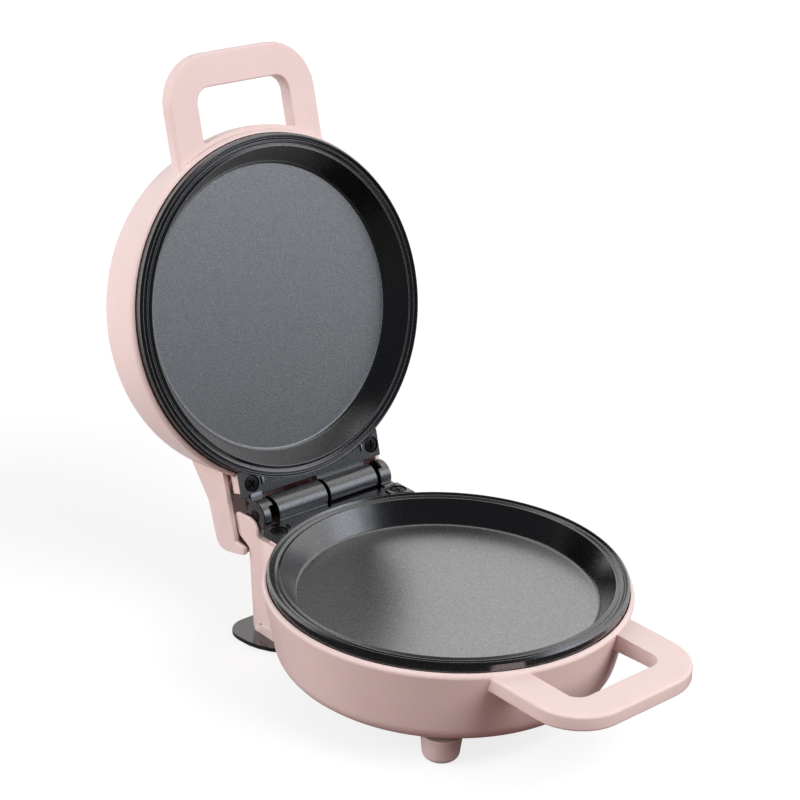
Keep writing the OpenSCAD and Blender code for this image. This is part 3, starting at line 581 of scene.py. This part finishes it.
def stand_finish():
    """Polished black plate with faint wiping marks."""
    m = Finish("stand_gloss")
    colour = colours().stand
    wipe = m.noise(1, 3, 0.6, m.stretch((40, 900, 40)))
    m.base(
        Base_Color=m.blend(m.noise(90, 2), shade(colour, 0.8), shade(colour, 1.3)),
        Roughness=m.span(wipe, 0.07, 0.15, 0.3, 0.75),
        Normal=m.bump(m.noise(30, 2), 0.02 * MM, 0.3),
        Coat_Weight=1.0, Coat_Roughness=0.04)
    return m.material


def rubber_finish():
    m = Finish("rubber")
    m.base(
        Base_Color=m.blend(m.noise(400, 3), (0.018, 0.018, 0.019), (0.034, 0.033, 0.034)),
        Roughness=m.span(m.noise(700, 2), 0.72, 0.86),
        Normal=m.bump(m.noise(1500, 3, 0.6), 0.03 * MM, 0.7))
    return m.material


def steel_finish(name, tone, low, high):
    """Machined steel with fine turning marks."""
    m = Finish(name)
    marks = m.noise(1, 2, 0.5, m.stretch((500, 500, 6000)))
    m.base(
        Base_Color=m.blend(m.noise(600, 3), shade(tone, 0.88), shade(tone, 1.08)),
        Metallic=1.0,
        Roughness=m.span(m.noise(900, 3), low, high, 0.3, 0.7),
        Normal=m.bump(marks, 0.006 * MM, 0.5))
    return m.material


def black_screw_finish():
    """Black oxide on steel, worn a little on the high spots."""
    m = Finish("black_screw")
    worn = m.span(m.noise(1400, 3, 0.7), 0, 0.5, 0.56, 0.8)
    m.base(
        Base_Color=m.blend(worn, (0.022, 0.022, 0.024), (0.12, 0.12, 0.125)),
        Metallic=0.8,
        Roughness=m.span(m.noise(800, 2), 0.24, 0.36),
        Normal=m.bump(m.noise(2500, 2), 0.008 * MM, 0.5))
    return m.material


def tube_finish():
    """Drawn heater tube, tinted straw and blue by heat."""
    m = Finish("heater_tube")
    heat = m.noise(55, 2, 0.5)
    straw = m.blend(m.span(heat, 0, 1, 0.4, 0.6), (0.34, 0.33, 0.32), (0.42, 0.33, 0.22))
    blued = m.blend(m.span(heat, 0, 0.7, 0.56, 0.72), straw, (0.16, 0.17, 0.24))
    m.base(
        Base_Color=blued, Metallic=1.0,
        Roughness=m.span(m.noise(700, 3), 0.34, 0.5, 0.3, 0.7),
        Normal=m.bump(m.noise(1, 2, 0.5, m.stretch((900, 900, 60))), 0.01 * MM, 0.5))
    return m.material


def sheet_finish(body):
    """Bright spun sheet of a reflector pan."""
    m = Finish("reflector_sheet_" + body, plate=body)
    spun = m.rings(1500, 1.5)
    m.base(
        Base_Color=m.blend(m.noise(80, 3), (0.66, 0.66, 0.67), (0.78, 0.78, 0.79)),
        Metallic=1.0,
        Roughness=m.span(spun, 0.2, 0.34),
        Normal=m.bump(spun, 0.01 * MM, 0.5))
    return m.material


def phenolic_finish():
    """Dark brown pressed resin with pale filler specks."""
    m = Finish("phenolic")
    speck = m.span(m.noise(1300, 2, 0.7), 0, 0.5, 0.62, 0.8)
    m.base(
        Base_Color=m.blend(speck, (0.03, 0.021, 0.017), (0.11, 0.075, 0.055)),
        Roughness=m.span(m.noise(500, 2), 0.38, 0.5),
        Normal=m.bump(m.noise(1100, 3), 0.02 * MM, 0.5))
    return m.material


def ceramic_finish():
    """Unglazed steatite with small pits and a warm cast."""
    m = Finish("ceramic")
    pit = m.span(m.noise(900, 3, 0.65), 0, 1, 0.25, 0.4)
    m.base(
        Base_Color=m.blend(pit, (0.55, 0.51, 0.44), (0.79, 0.76, 0.69)),
        Roughness=m.span(m.noise(300, 2), 0.55, 0.7),
        Normal=m.bump(pit, 0.04 * MM, 0.5))
    return m.material


def lens_finish():
    """Tinted clear plastic of the indicators."""
    m = Finish("lens_red")
    colour = colours().lens
    m.base(
        Base_Color=m.blend(m.noise(500, 2), shade(colour, 0.85), shade(colour, 1.15)),
        Roughness=m.span(m.noise(900, 2), 0.08, 0.16),
        Transmission_Weight=0.55, IOR=1.49,
        Normal=m.bump(m.cells(1800, "Distance"), 0.05 * MM, 0.3))
    return m.material


def lamp_finish():
    """Small neon lamp: milky glass with a grey metal shimmer."""
    m = Finish("lamp_body")
    m.base(
        Base_Color=m.blend(m.noise(900, 2), (0.62, 0.60, 0.56), (0.82, 0.80, 0.76)),
        Roughness=m.span(m.noise(600, 2), 0.12, 0.3),
        Transmission_Weight=0.3)
    return m.material


# ---------------------------------------------------------------- pieces

class MAKER_OT_camera(bpy.types.Operator):
    """Places the camera in front of the open maker"""
    bl_idname = "maker.camera"
    bl_label = "Camera"

    def execute(self, context):
        studio = context.scene.maker_studio
        data = bpy.data.cameras.new("Camera")
        data.lens = studio.lens
        data.sensor_width = 36
        data.clip_start = 0.02
        camera = bpy.data.objects.new("Camera", data)
        context.scene.collection.objects.link(camera)
        right = Vector((0.75312, -0.65691, 0.03583)).normalized()
        back = Vector((-0.61378, -0.68198, 0.39771)).normalized()
        place = crest("base")[0] + Vector(studio.camera_place)
        camera.matrix_world = Matrix.Translation(place) @ Matrix(
            (right, back.cross(right), back)).transposed().to_4x4()
        context.scene.camera = camera
        return {"FINISHED"}


def on_slot(middle):
    """Whether the middle of an edge lies on the slot in the tower's side."""
    along = abs(middle.y - SLOT_MIDDLE[0]) - SLOT_HALF[0]
    above = abs(middle.z - TOWER_LOW - SLOT_MIDDLE[1]) - SLOT_HALF[1]
    return middle.x < TOWER_LEFT and max(along, above) < 0


class MAKER_OT_shells(bpy.types.Operator):
    """Rounds the edges of the base and lid mouldings and gives them their pink finish"""
    bl_idname = "maker.shells"
    bl_label = "Shells"

    def execute(self, context):
        pink = shell_finish()
        full = sizes().shell_edge
        for body in ("base", "lid"):
            centre, up = crest(body)

            def width(edge, body=body, centre=centre, up=up):
                middle = (edge.verts[0].co + edge.verts[1].co) / 2
                if body == "base" and on_slot(middle):
                    return 0
                offset = middle - centre
                height = offset.dot(up)
                inside = (offset - up * height).length < PLATE_RADIUS + 1 * MM
                return full / 4 if inside and height > -12 * MM else full

            moulding(body + "_shell", body, [pink], width)
        moulding("front_feet", "base", [pink], full / 2)
        return {"FINISHED"}


class MAKER_OT_plates(bpy.types.Operator):
    """Finishes the two cooking plates: flake coating above, bare castings beneath"""
    bl_idname = "maker.plates"
    bl_label = "Cooking plates"

    def execute(self, context):
        for node, body in (("lower_plate", "base"), ("upper_plate", "lid")):
            centre, up = crest(body)
            depth = sizes().pan_depth

            def zone(face, centre=centre, up=up):
                offset = face.calc_center_median() - centre
                height = offset.dot(up)
                reach = (offset - up * height).length
                level = face.normal.dot(up)
                if level > 0.99 and abs(height + depth) < 0.05 * MM:
                    return PAN_FLOOR
                inside = height < -1.5 * MM and reach < PLATE_RADIUS - 1.2 * MM
                return UNDERSIDE if level < 0.2 and inside else CASTING

            tops = [axis_place(solid, up)[0] for solid in islands(node + "_screws")]

            def width(edge, tops=tops):
                middle = (edge.verts[0].co + edge.verts[1].co) / 2
                close = min((middle - top).length for top in tops) < 4.5 * MM
                return sizes().casting_edge / (3 if close else 1)

            finishes = [
                coating_finish("pan_floor", body, colours().pan_floor, 0.25, 0.31),
                # Darker copy of the floors' coating for the walls, rings, ears and barrels:
                # painted shade
                coating_finish("casting", body, colours().casting, 0.21, 0.28),
                raw_finish(body)]
            moulding(node, body, finishes, width, zone)
        return {"FINISHED"}


class MAKER_OT_underside(bpy.types.Operator):
    """Finishes the bottom cover, the stand plate, its pads and the cord gland"""
    bl_idname = "maker.underside"
    bl_label = "Underside"

    def execute(self, context):
        edge = sizes().fitting_edge
        rubber = rubber_finish()
        moulding("bottom_cover", "base", [cover_finish()], edge)
        moulding("stand_plate", "base", [stand_finish()], edge)
        moulding("stand_pads", "base", [rubber], edge)
        moulding("cord_gland", "base", [rubber], edge)
        return {"FINISHED"}


class MAKER_OT_hinge(bpy.types.Operator):
    """Turns the blackened hinge pin with its rounded ends"""
    bl_idname = "maker.hinge"
    bl_label = "Hinge pin"

    def execute(self, context):
        low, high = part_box("hinge_pin")
        radius = (high.z - low.z) / 2
        length = high.x - low.x
        nose = 0.55 * MM
        profile = [(0, 0)] + quarter(radius - nose, nose, nose, -90, 0)
        profile += quarter(radius - nose, length - nose, nose, 0, 90) + [(0, length)]
        work = bmesh.new()
        turned(work, profile, Vector((low.x, HINGE.y, HINGE.z)), Vector((1, 0, 0)), 64)
        write_turned(work, "hinge_pin_turned", "base", "hinge_pin",
                     steel_finish("pin_steel", (0.06, 0.06, 0.062), 0.26, 0.4))
        return {"FINISHED"}


class MAKER_OT_indicators(bpy.types.Operator):
    """Makes the two domed indicator lenses and the lamps behind them"""
    bl_idname = "maker.indicators"
    bl_label = "Indicators"

    def execute(self, context):
        outward = -crest("lid")[1]
        work = bmesh.new()
        for solid in islands("indicator_lenses"):
            top, radius, height = axis_place(solid, outward)
            bead = 0.7 * MM
            crown = [((radius - bead) * (1 - i / 4), height - 0.06 * MM * (1 - i / 4) ** 2)
                     for i in range(1, 5)]
            profile = [(0, 0)] + quarter(radius - 0.2 * MM, 0.2 * MM, 0.2 * MM, -90, 0, 3)
            profile += quarter(radius - bead, height - 0.06 * MM - bead, bead, 0, 90, 6) + crown
            turned(work, profile, top - outward * height, outward)
        write_turned(work, "indicator_lenses_domed", "lid", "indicator_lenses",
                     lens_finish())
        moulding("indicator_lamps", "lid", [lamp_finish()], 0.2 * MM)
        return {"FINISHED"}


class MAKER_OT_inner_works(bpy.types.Operator):
    """Finishes the heaters, clamps, reflectors, thermostat, fuse and terminal block"""
    bl_idname = "maker.inner_works"
    bl_label = "Inner works"

    def execute(self, context):
        edge = 0.12 * MM
        tube = tube_finish()
        steel = steel_finish("strap_steel", (0.56, 0.57, 0.58), 0.26, 0.4)
        ceramic = ceramic_finish()
        for level, body in (("lower", "base"), ("upper", "lid")):
            moulding(level + "_heater", body, [tube], edge)
            moulding(level + "_heater_clamps", body, [steel], edge)
            moulding(level + "_reflector", body, [sheet_finish(body)], edge)
        moulding("thermostat", "base", [ceramic], edge)
        moulding("thermal_fuse", "base", [ceramic], edge)
        moulding("terminal_block", "base", [phenolic_finish()], edge * 2)
        return {"FINISHED"}


# ---------------------------------------------------------------- screws

def screw_tree():
    """Geometry Nodes tree that sets a cross-head screw on each point, along its axis."""
    tree = bpy.data.node_groups.new("Cross-head screws", "GeometryNodeTree")
    tree.is_modifier = True
    sockets = tree.interface
    sockets.new_socket("Geometry", in_out="INPUT", socket_type="NodeSocketGeometry")
    for name, default in (("Head radius", 2.7 * MM), ("Head height", 1.6 * MM),
                          ("Head dome", 0.25 * MM), ("Shank radius", 1.3 * MM),
                          ("Shank length", 9 * MM), ("Slot length", 3.4 * MM),
                          ("Slot width", 0.7 * MM), ("Slot depth", 0.9 * MM),
                          ("Thread pitch", 0.9 * MM)):
        item = sockets.new_socket(name, in_out="INPUT", socket_type="NodeSocketFloat")
        item.default_value = default
        item.subtype = "DISTANCE"
    sockets.new_socket("Finish", in_out="INPUT", socket_type="NodeSocketMaterial")
    sockets.new_socket("Geometry", in_out="OUTPUT", socket_type="NodeSocketGeometry")

    wiring = Wiring(tree)
    add, link = wiring.add, wiring.link

    def sums(operation, *values):
        node = add("ShaderNodeMath", operation=operation)
        for socket, value in zip(node.inputs, values):
            plug(tree, socket, value)
        return node.outputs[0]

    def triple(x=0.0, y=0.0, z=0.0):
        node = add("ShaderNodeCombineXYZ")
        for socket, value in zip(node.inputs, (x, y, z)):
            plug(tree, socket, value)
        return node.outputs[0]

    given = add("NodeGroupInput").outputs
    place = add("GeometryNodeInputPosition").outputs[0]
    parts = add("ShaderNodeSeparateXYZ")
    link(place, parts.inputs[0])
    x, y, z = parts.outputs
    reach = sums("SQRT", sums("ADD", sums("MULTIPLY", x, x), sums("MULTIPLY", y, y)))

    # Head: a disc whose top falls towards the rim
    head = add("GeometryNodeMeshCylinder", fill_type="TRIANGLE_FAN")
    head.inputs["Vertices"].default_value = 40
    head.inputs["Side Segments"].default_value = 1
    head.inputs["Fill Segments"].default_value = 6
    link(given["Head radius"], head.inputs["Radius"])
    link(given["Head height"], head.inputs["Depth"])
    share = sums("DIVIDE", reach, given["Head radius"])
    fall = sums("MULTIPLY", sums("POWER", share, 3.0), given["Head dome"])
    dome = add("GeometryNodeSetPosition")
    link(head.outputs["Mesh"], dome.inputs["Geometry"])
    link(sums("GREATER_THAN", z, 0.0), dome.inputs["Selection"])
    link(triple(z=sums("MULTIPLY", fall, -1.0)), dome.inputs["Offset"])
    set_head = add("GeometryNodeTransform")
    link(dome.outputs[0], set_head.inputs["Geometry"])
    link(triple(z=sums("MULTIPLY", given["Head height"], -0.5)), set_head.inputs["Translation"])

    # Recess: two crossed wings that narrow downwards
    wing = add("GeometryNodeMeshCube")
    link(triple(given["Slot length"], given["Slot width"],
                sums("MULTIPLY", given["Slot depth"], 2.0)), wing.inputs["Size"])
    narrow = sums("ADD", 1.0, sums("MULTIPLY", sums("DIVIDE", z, given["Slot depth"]), 0.3))
    taper = add("GeometryNodeSetPosition")
    link(wing.outputs["Mesh"], taper.inputs["Geometry"])
    link(triple(sums("MULTIPLY", x, narrow), sums("MULTIPLY", y, narrow), z),
         taper.inputs["Position"])
    crossed = add("GeometryNodeTransform")
    crossed.inputs["Rotation"].default_value = (0, 0, pi / 2)
    link(taper.outputs[0], crossed.inputs["Geometry"])
    first_cut = add("GeometryNodeMeshBoolean", operation="DIFFERENCE")
    link(set_head.outputs[0], first_cut.inputs["Mesh 1"])
    link(taper.outputs[0], first_cut.inputs["Mesh 2"])
    second_cut = add("GeometryNodeMeshBoolean", operation="DIFFERENCE")
    link(first_cut.outputs[0], second_cut.inputs["Mesh 1"])
    link(crossed.outputs[0], second_cut.inputs["Mesh 2"])

    # Shank: a cylinder with thread rings inside its radius
    shank = add("GeometryNodeMeshCylinder")
    shank.inputs["Vertices"].default_value = 20
    shank.inputs["Side Segments"].default_value = 40
    link(given["Shank radius"], shank.inputs["Radius"])
    link(given["Shank length"], shank.inputs["Depth"])
    wave = sums("COSINE", sums("MULTIPLY", sums("DIVIDE", z, given["Thread pitch"]), 2 * pi))
    ridge = sums("ADD", 0.91, sums("MULTIPLY", wave, 0.08))
    thread = add("GeometryNodeSetPosition")
    link(shank.outputs["Mesh"], thread.inputs["Geometry"])
    link(triple(sums("MULTIPLY", x, ridge), sums("MULTIPLY", y, ridge), z),
         thread.inputs["Position"])
    set_shank = add("GeometryNodeTransform")
    link(thread.outputs[0], set_shank.inputs["Geometry"])
    drop = sums("ADD", sums("MULTIPLY", given["Head height"], -1.0),
                sums("MULTIPLY", given["Shank length"], -0.5))
    link(triple(z=drop), set_shank.inputs["Translation"])
    whole = add("GeometryNodeJoinGeometry")
    link(set_shank.outputs[0], whole.inputs[0])
    link(second_cut.outputs[0], whole.inputs[0])

    # One screw on each point, its head along the point's axis
    axis = add("GeometryNodeInputNamedAttribute", data_type="FLOAT_VECTOR")
    axis.inputs["Name"].default_value = "axis"
    aim = add("FunctionNodeAlignRotationToVector", axis="Z")
    link(axis.outputs["Attribute"], aim.inputs["Vector"])
    spin = add("GeometryNodeInputNamedAttribute", data_type="FLOAT")
    spin.inputs["Name"].default_value = "turn"
    twist = add("FunctionNodeRotateRotation", rotation_space="LOCAL")
    link(aim.outputs[0], twist.inputs["Rotation"])
    link(triple(z=spin.outputs["Attribute"]), twist.inputs["Rotate By"])
    copies = add("GeometryNodeInstanceOnPoints")
    link(given["Geometry"], copies.inputs["Points"])
    link(whole.outputs[0], copies.inputs["Instance"])
    link(twist.outputs[0], copies.inputs["Rotation"])
    real = add("GeometryNodeRealizeInstances")
    link(copies.outputs[0], real.inputs["Geometry"])
    dress = add("GeometryNodeSetMaterial")
    link(real.outputs[0], dress.inputs["Geometry"])
    link(given["Finish"], dress.inputs["Material"])
    link(dress.outputs[0], add("NodeGroupOutput").inputs["Geometry"])
    return tree


def screws(tree, node, body, axis, finish, head_height, turn):
    """Grows the screws of one CAD node from their places and makes them a plain mesh."""
    places = [axis_place(solid, axis) for solid in islands(node)]
    host_mesh = bpy.data.meshes.new(node + "_places")
    host_mesh.from_pydata([top for top, radius, length in places], [], [])
    host_mesh.attributes.new("axis", "FLOAT_VECTOR", "POINT")
    host_mesh.attributes.new("turn", "FLOAT", "POINT")
    for i in range(len(places)):
        host_mesh.attributes["axis"].data[i].vector = axis
        host_mesh.attributes["turn"].data[i].value = turn + 0.9 * i
    host = bpy.data.objects.new(node + "_places", host_mesh)
    bpy.context.scene.collection.objects.link(host)
    grow = host.modifiers.new("Cross-head screws", "NODES")
    grow.node_group = tree
    radius, length = places[0][1], places[0][2]
    values = {"Head radius": radius, "Head height": head_height,
              "Head dome": sizes().head_dome, "Shank length": length - head_height,
              "Finish": finish}
    for item in tree.interface.items_tree:
        if item.in_out == "INPUT" and item.name in values:
            grow[item.identifier] = values[item.name]
    graph = bpy.context.evaluated_depsgraph_get()
    mesh = bpy.data.meshes.new_from_object(host.evaluated_get(graph), depsgraph=graph)
    mesh.name = node + "_threaded"
    bpy.data.objects.remove(host)
    bpy.data.meshes.remove(host_mesh)
    if len(mesh.polygons) < 200 * len(places):
        raise RuntimeError("the screws of " + node + " came out empty")
    shade_mesh(mesh, radians(32))
    return set_piece(mesh, node + "_threaded", body, node)


class MAKER_OT_screws(bpy.types.Operator):
    """Sets every screw: two black ones in each plate, and steel ones underneath and inside"""
    bl_idname = "maker.screws"
    bl_label = "Screws"

    def execute(self, context):
        tree = screw_tree()
        black = black_screw_finish()
        steel = steel_finish("screw_steel", (0.60, 0.60, 0.61), 0.2, 0.34)
        up = crest("base")[1]
        lid_up = crest("lid")[1]
        ear_head = 1.6 * MM
        head = 1.0 * MM
        for node, body, axis, turn in (("lower_plate", "base", up, 0.35),
                                       ("upper_plate", "lid", lid_up, 0.6)):
            screws(tree, node + "_screws", body, axis, black, ear_head, turn)
        for node, body, axis, turn in (("cover", "base", -up, 0.2),
                                       ("stand", "base", -up, 0.7),
                                       ("lower_reflector", "base", -up, 0.1),
                                       ("upper_reflector", "lid", -lid_up, 0.5)):
            screws(tree, node + "_screws", body, axis, steel, head, turn)
        return {"FINISHED"}


# ---------------------------------------------------------------- studio

def soft_box(name, place, width, height, power):
    """A rectangular area light aimed at the maker's middle, unseen in its mirror images."""
    data = bpy.data.lights.new(name, "AREA")
    data.shape = "RECTANGLE"
    data.size = width
    data.size_y = height
    data.energy = power
    light = bpy.data.objects.new(name, data)
    light.location = place
    light.visible_glossy = False
    light.rotation_mode = "QUATERNION"
    light.rotation_quaternion = (Vector(LAMP_TARGET) - Vector(place)).to_track_quat("-Z", "Y")
    bpy.context.scene.collection.objects.link(light)


def mirrored_room(w, aim):
    """What the coating reflects: a pale back, a dark front and a bright panel on its right."""
    glow = w.spread(aim, PANEL_GLOW, 0.86, 0.97)
    panel = w.spread(aim, PANEL, 0.93, 0.99)
    front = w.blend(panel, w.blend(glow, DARK_ROOM, GLOW_GREY), PANEL_WHITE)
    room = w.blend(w.spread(aim, AWAY, -0.1, 0.25), front, WARM_WHITE)
    return w.shine("ShaderNodeBackground", room, 1)


def room_light(scene, sky):
    """Even light that fades downwards, behind a backdrop that shows white."""
    scene.world = bpy.data.worlds.new("Room")
    scene.world.use_nodes = True
    w = Wiring(scene.world.node_tree)
    w.tree.nodes.remove(w.tree.nodes["Background"])
    aim = w.add("ShaderNodeTexCoord").outputs["Generated"]
    rise = w.spread(aim, (0, 0, 1), 0, 1, 0.25, 1)
    even = w.shine("ShaderNodeBackground", rise, sky)
    white = w.shine("ShaderNodeBackground", WHITE, 1)
    backdrop = w.either(w.ray("Glossy"), white, mirrored_room(w, aim))
    shown = w.either(w.seen_ray(), even, backdrop)
    w.link(shown, w.tree.nodes["World Output"].inputs["Surface"])


def paper_finish():
    """White paper that keeps a shadow, is dark to mirrors in front and clear from below."""
    paper = Finish("paper_floor")
    paper.tree.nodes.remove(paper.surface)
    fibre = paper.noise(900, 2)
    lit = paper.diffuse(paper.blend(fibre, (0.24, 0.24, 0.24), (0.27, 0.27, 0.27)))
    reach = paper.add("ShaderNodeVectorMath", operation="LENGTH")
    paper.link(paper.place, reach.inputs[0])
    away = paper.span(reach.outputs["Value"], 0.8, 1, 0.2, 0.6)
    bright = paper.add("ShaderNodeAddShader")
    paper.link(lit, bright.inputs[0])
    paper.link(paper.shine("ShaderNodeEmission", WHITE, away), bright.inputs[1])
    front = paper.spread(paper.place, AWAY, -0.02, 0.15, 0.05)
    sheen = paper.shine("ShaderNodeEmission", WARM_WHITE, front)
    seen = paper.either(paper.ray("Glossy"), bright.outputs[0], sheen)
    shown = paper.either(paper.seen_ray(), paper.diffuse((0.22, 0.11, 0.1)), seen)
    below = paper.add("ShaderNodeNewGeometry").outputs["Backfacing"]
    clear = paper.add("ShaderNodeBsdfTransparent").outputs[0]
    one_way = paper.either(below, shown, clear)
    paper.link(one_way, paper.tree.nodes["Material Output"].inputs["Surface"])
    return paper.material


class MAKER_OT_stage(bpy.types.Operator):
    """Lays the pale floor, sets the soft boxes and the even light of the room"""
    bl_idname = "maker.stage"
    bl_label = "Stage"

    def execute(self, context):
        scene = context.scene
        studio = scene.maker_studio
        room_light(scene, studio.sky)
        sheet = bpy.data.meshes.new("floor")
        reach = 6.0
        sheet.from_pydata([(-reach, -reach, 0), (reach, -reach, 0), (reach, reach, 0),
                           (-reach, reach, 0)], [], [(0, 1, 2, 3)])
        sheet.materials.append(paper_finish())
        floor = bpy.data.objects.new("floor", sheet)
        scene.collection.objects.link(floor)
        soft_box("Key", KEY_PLACE, 0.8, 0.8, studio.key)
        soft_box("Side", SIDE_PLACE, 1.1, 0.9, studio.fill)
        scene.view_settings.view_transform = "Standard"
        return {"FINISHED"}


# ---------------------------------------------------------------- panel and registration

STEPS = (MAKER_OT_camera, MAKER_OT_shells, MAKER_OT_plates, MAKER_OT_underside, MAKER_OT_hinge,
         MAKER_OT_indicators, MAKER_OT_inner_works, MAKER_OT_screws, MAKER_OT_stage)


class MAKER_PT_panel(bpy.types.Panel):
    """Lists the sizes, the colours and the pieces of the maker"""
    bl_idname = "MAKER_PT_panel"
    bl_label = "Pan Maker"
    bl_space_type = "VIEW_3D"
    bl_region_type = "UI"
    bl_category = "Pan Maker"

    def draw(self, context):
        for title, group in (("Sizes", context.scene.maker_sizes),
                             ("Colours", context.scene.maker_colours),
                             ("Studio", context.scene.maker_studio)):
            box = self.layout.box()
            box.label(text=title)
            for key in group.bl_rna.properties.keys():
                if key not in ("rna_type", "name"):
                    box.prop(group, key)
        box = self.layout.box()
        box.label(text="Pieces")
        for step in STEPS:
            box.operator(step.bl_idname)


CLASSES = (MakerSizes, MakerColours, MakerStudio) + STEPS + (MAKER_PT_panel,)


def register():
    for part in CLASSES:
        bpy.utils.register_class(part)
    bpy.types.Scene.maker_sizes = bpy.props.PointerProperty(type=MakerSizes)
    bpy.types.Scene.maker_colours = bpy.props.PointerProperty(type=MakerColours)
    bpy.types.Scene.maker_studio = bpy.props.PointerProperty(type=MakerStudio)


def unregister():
    del bpy.types.Scene.maker_studio
    del bpy.types.Scene.maker_colours
    del bpy.types.Scene.maker_sizes
    for part in reversed(CLASSES):
        bpy.utils.unregister_class(part)


def main():
    register()
    bpy.ops.maker.camera()
    bpy.ops.maker.shells()
    bpy.ops.maker.plates()
    bpy.ops.maker.underside()
    bpy.ops.maker.hinge()
    bpy.ops.maker.indicators()
    bpy.ops.maker.inner_works()
    bpy.ops.maker.screws()
    bpy.ops.maker.stage()
    bpy.context.view_layer.update()


if __name__ == "__main__":
    main()
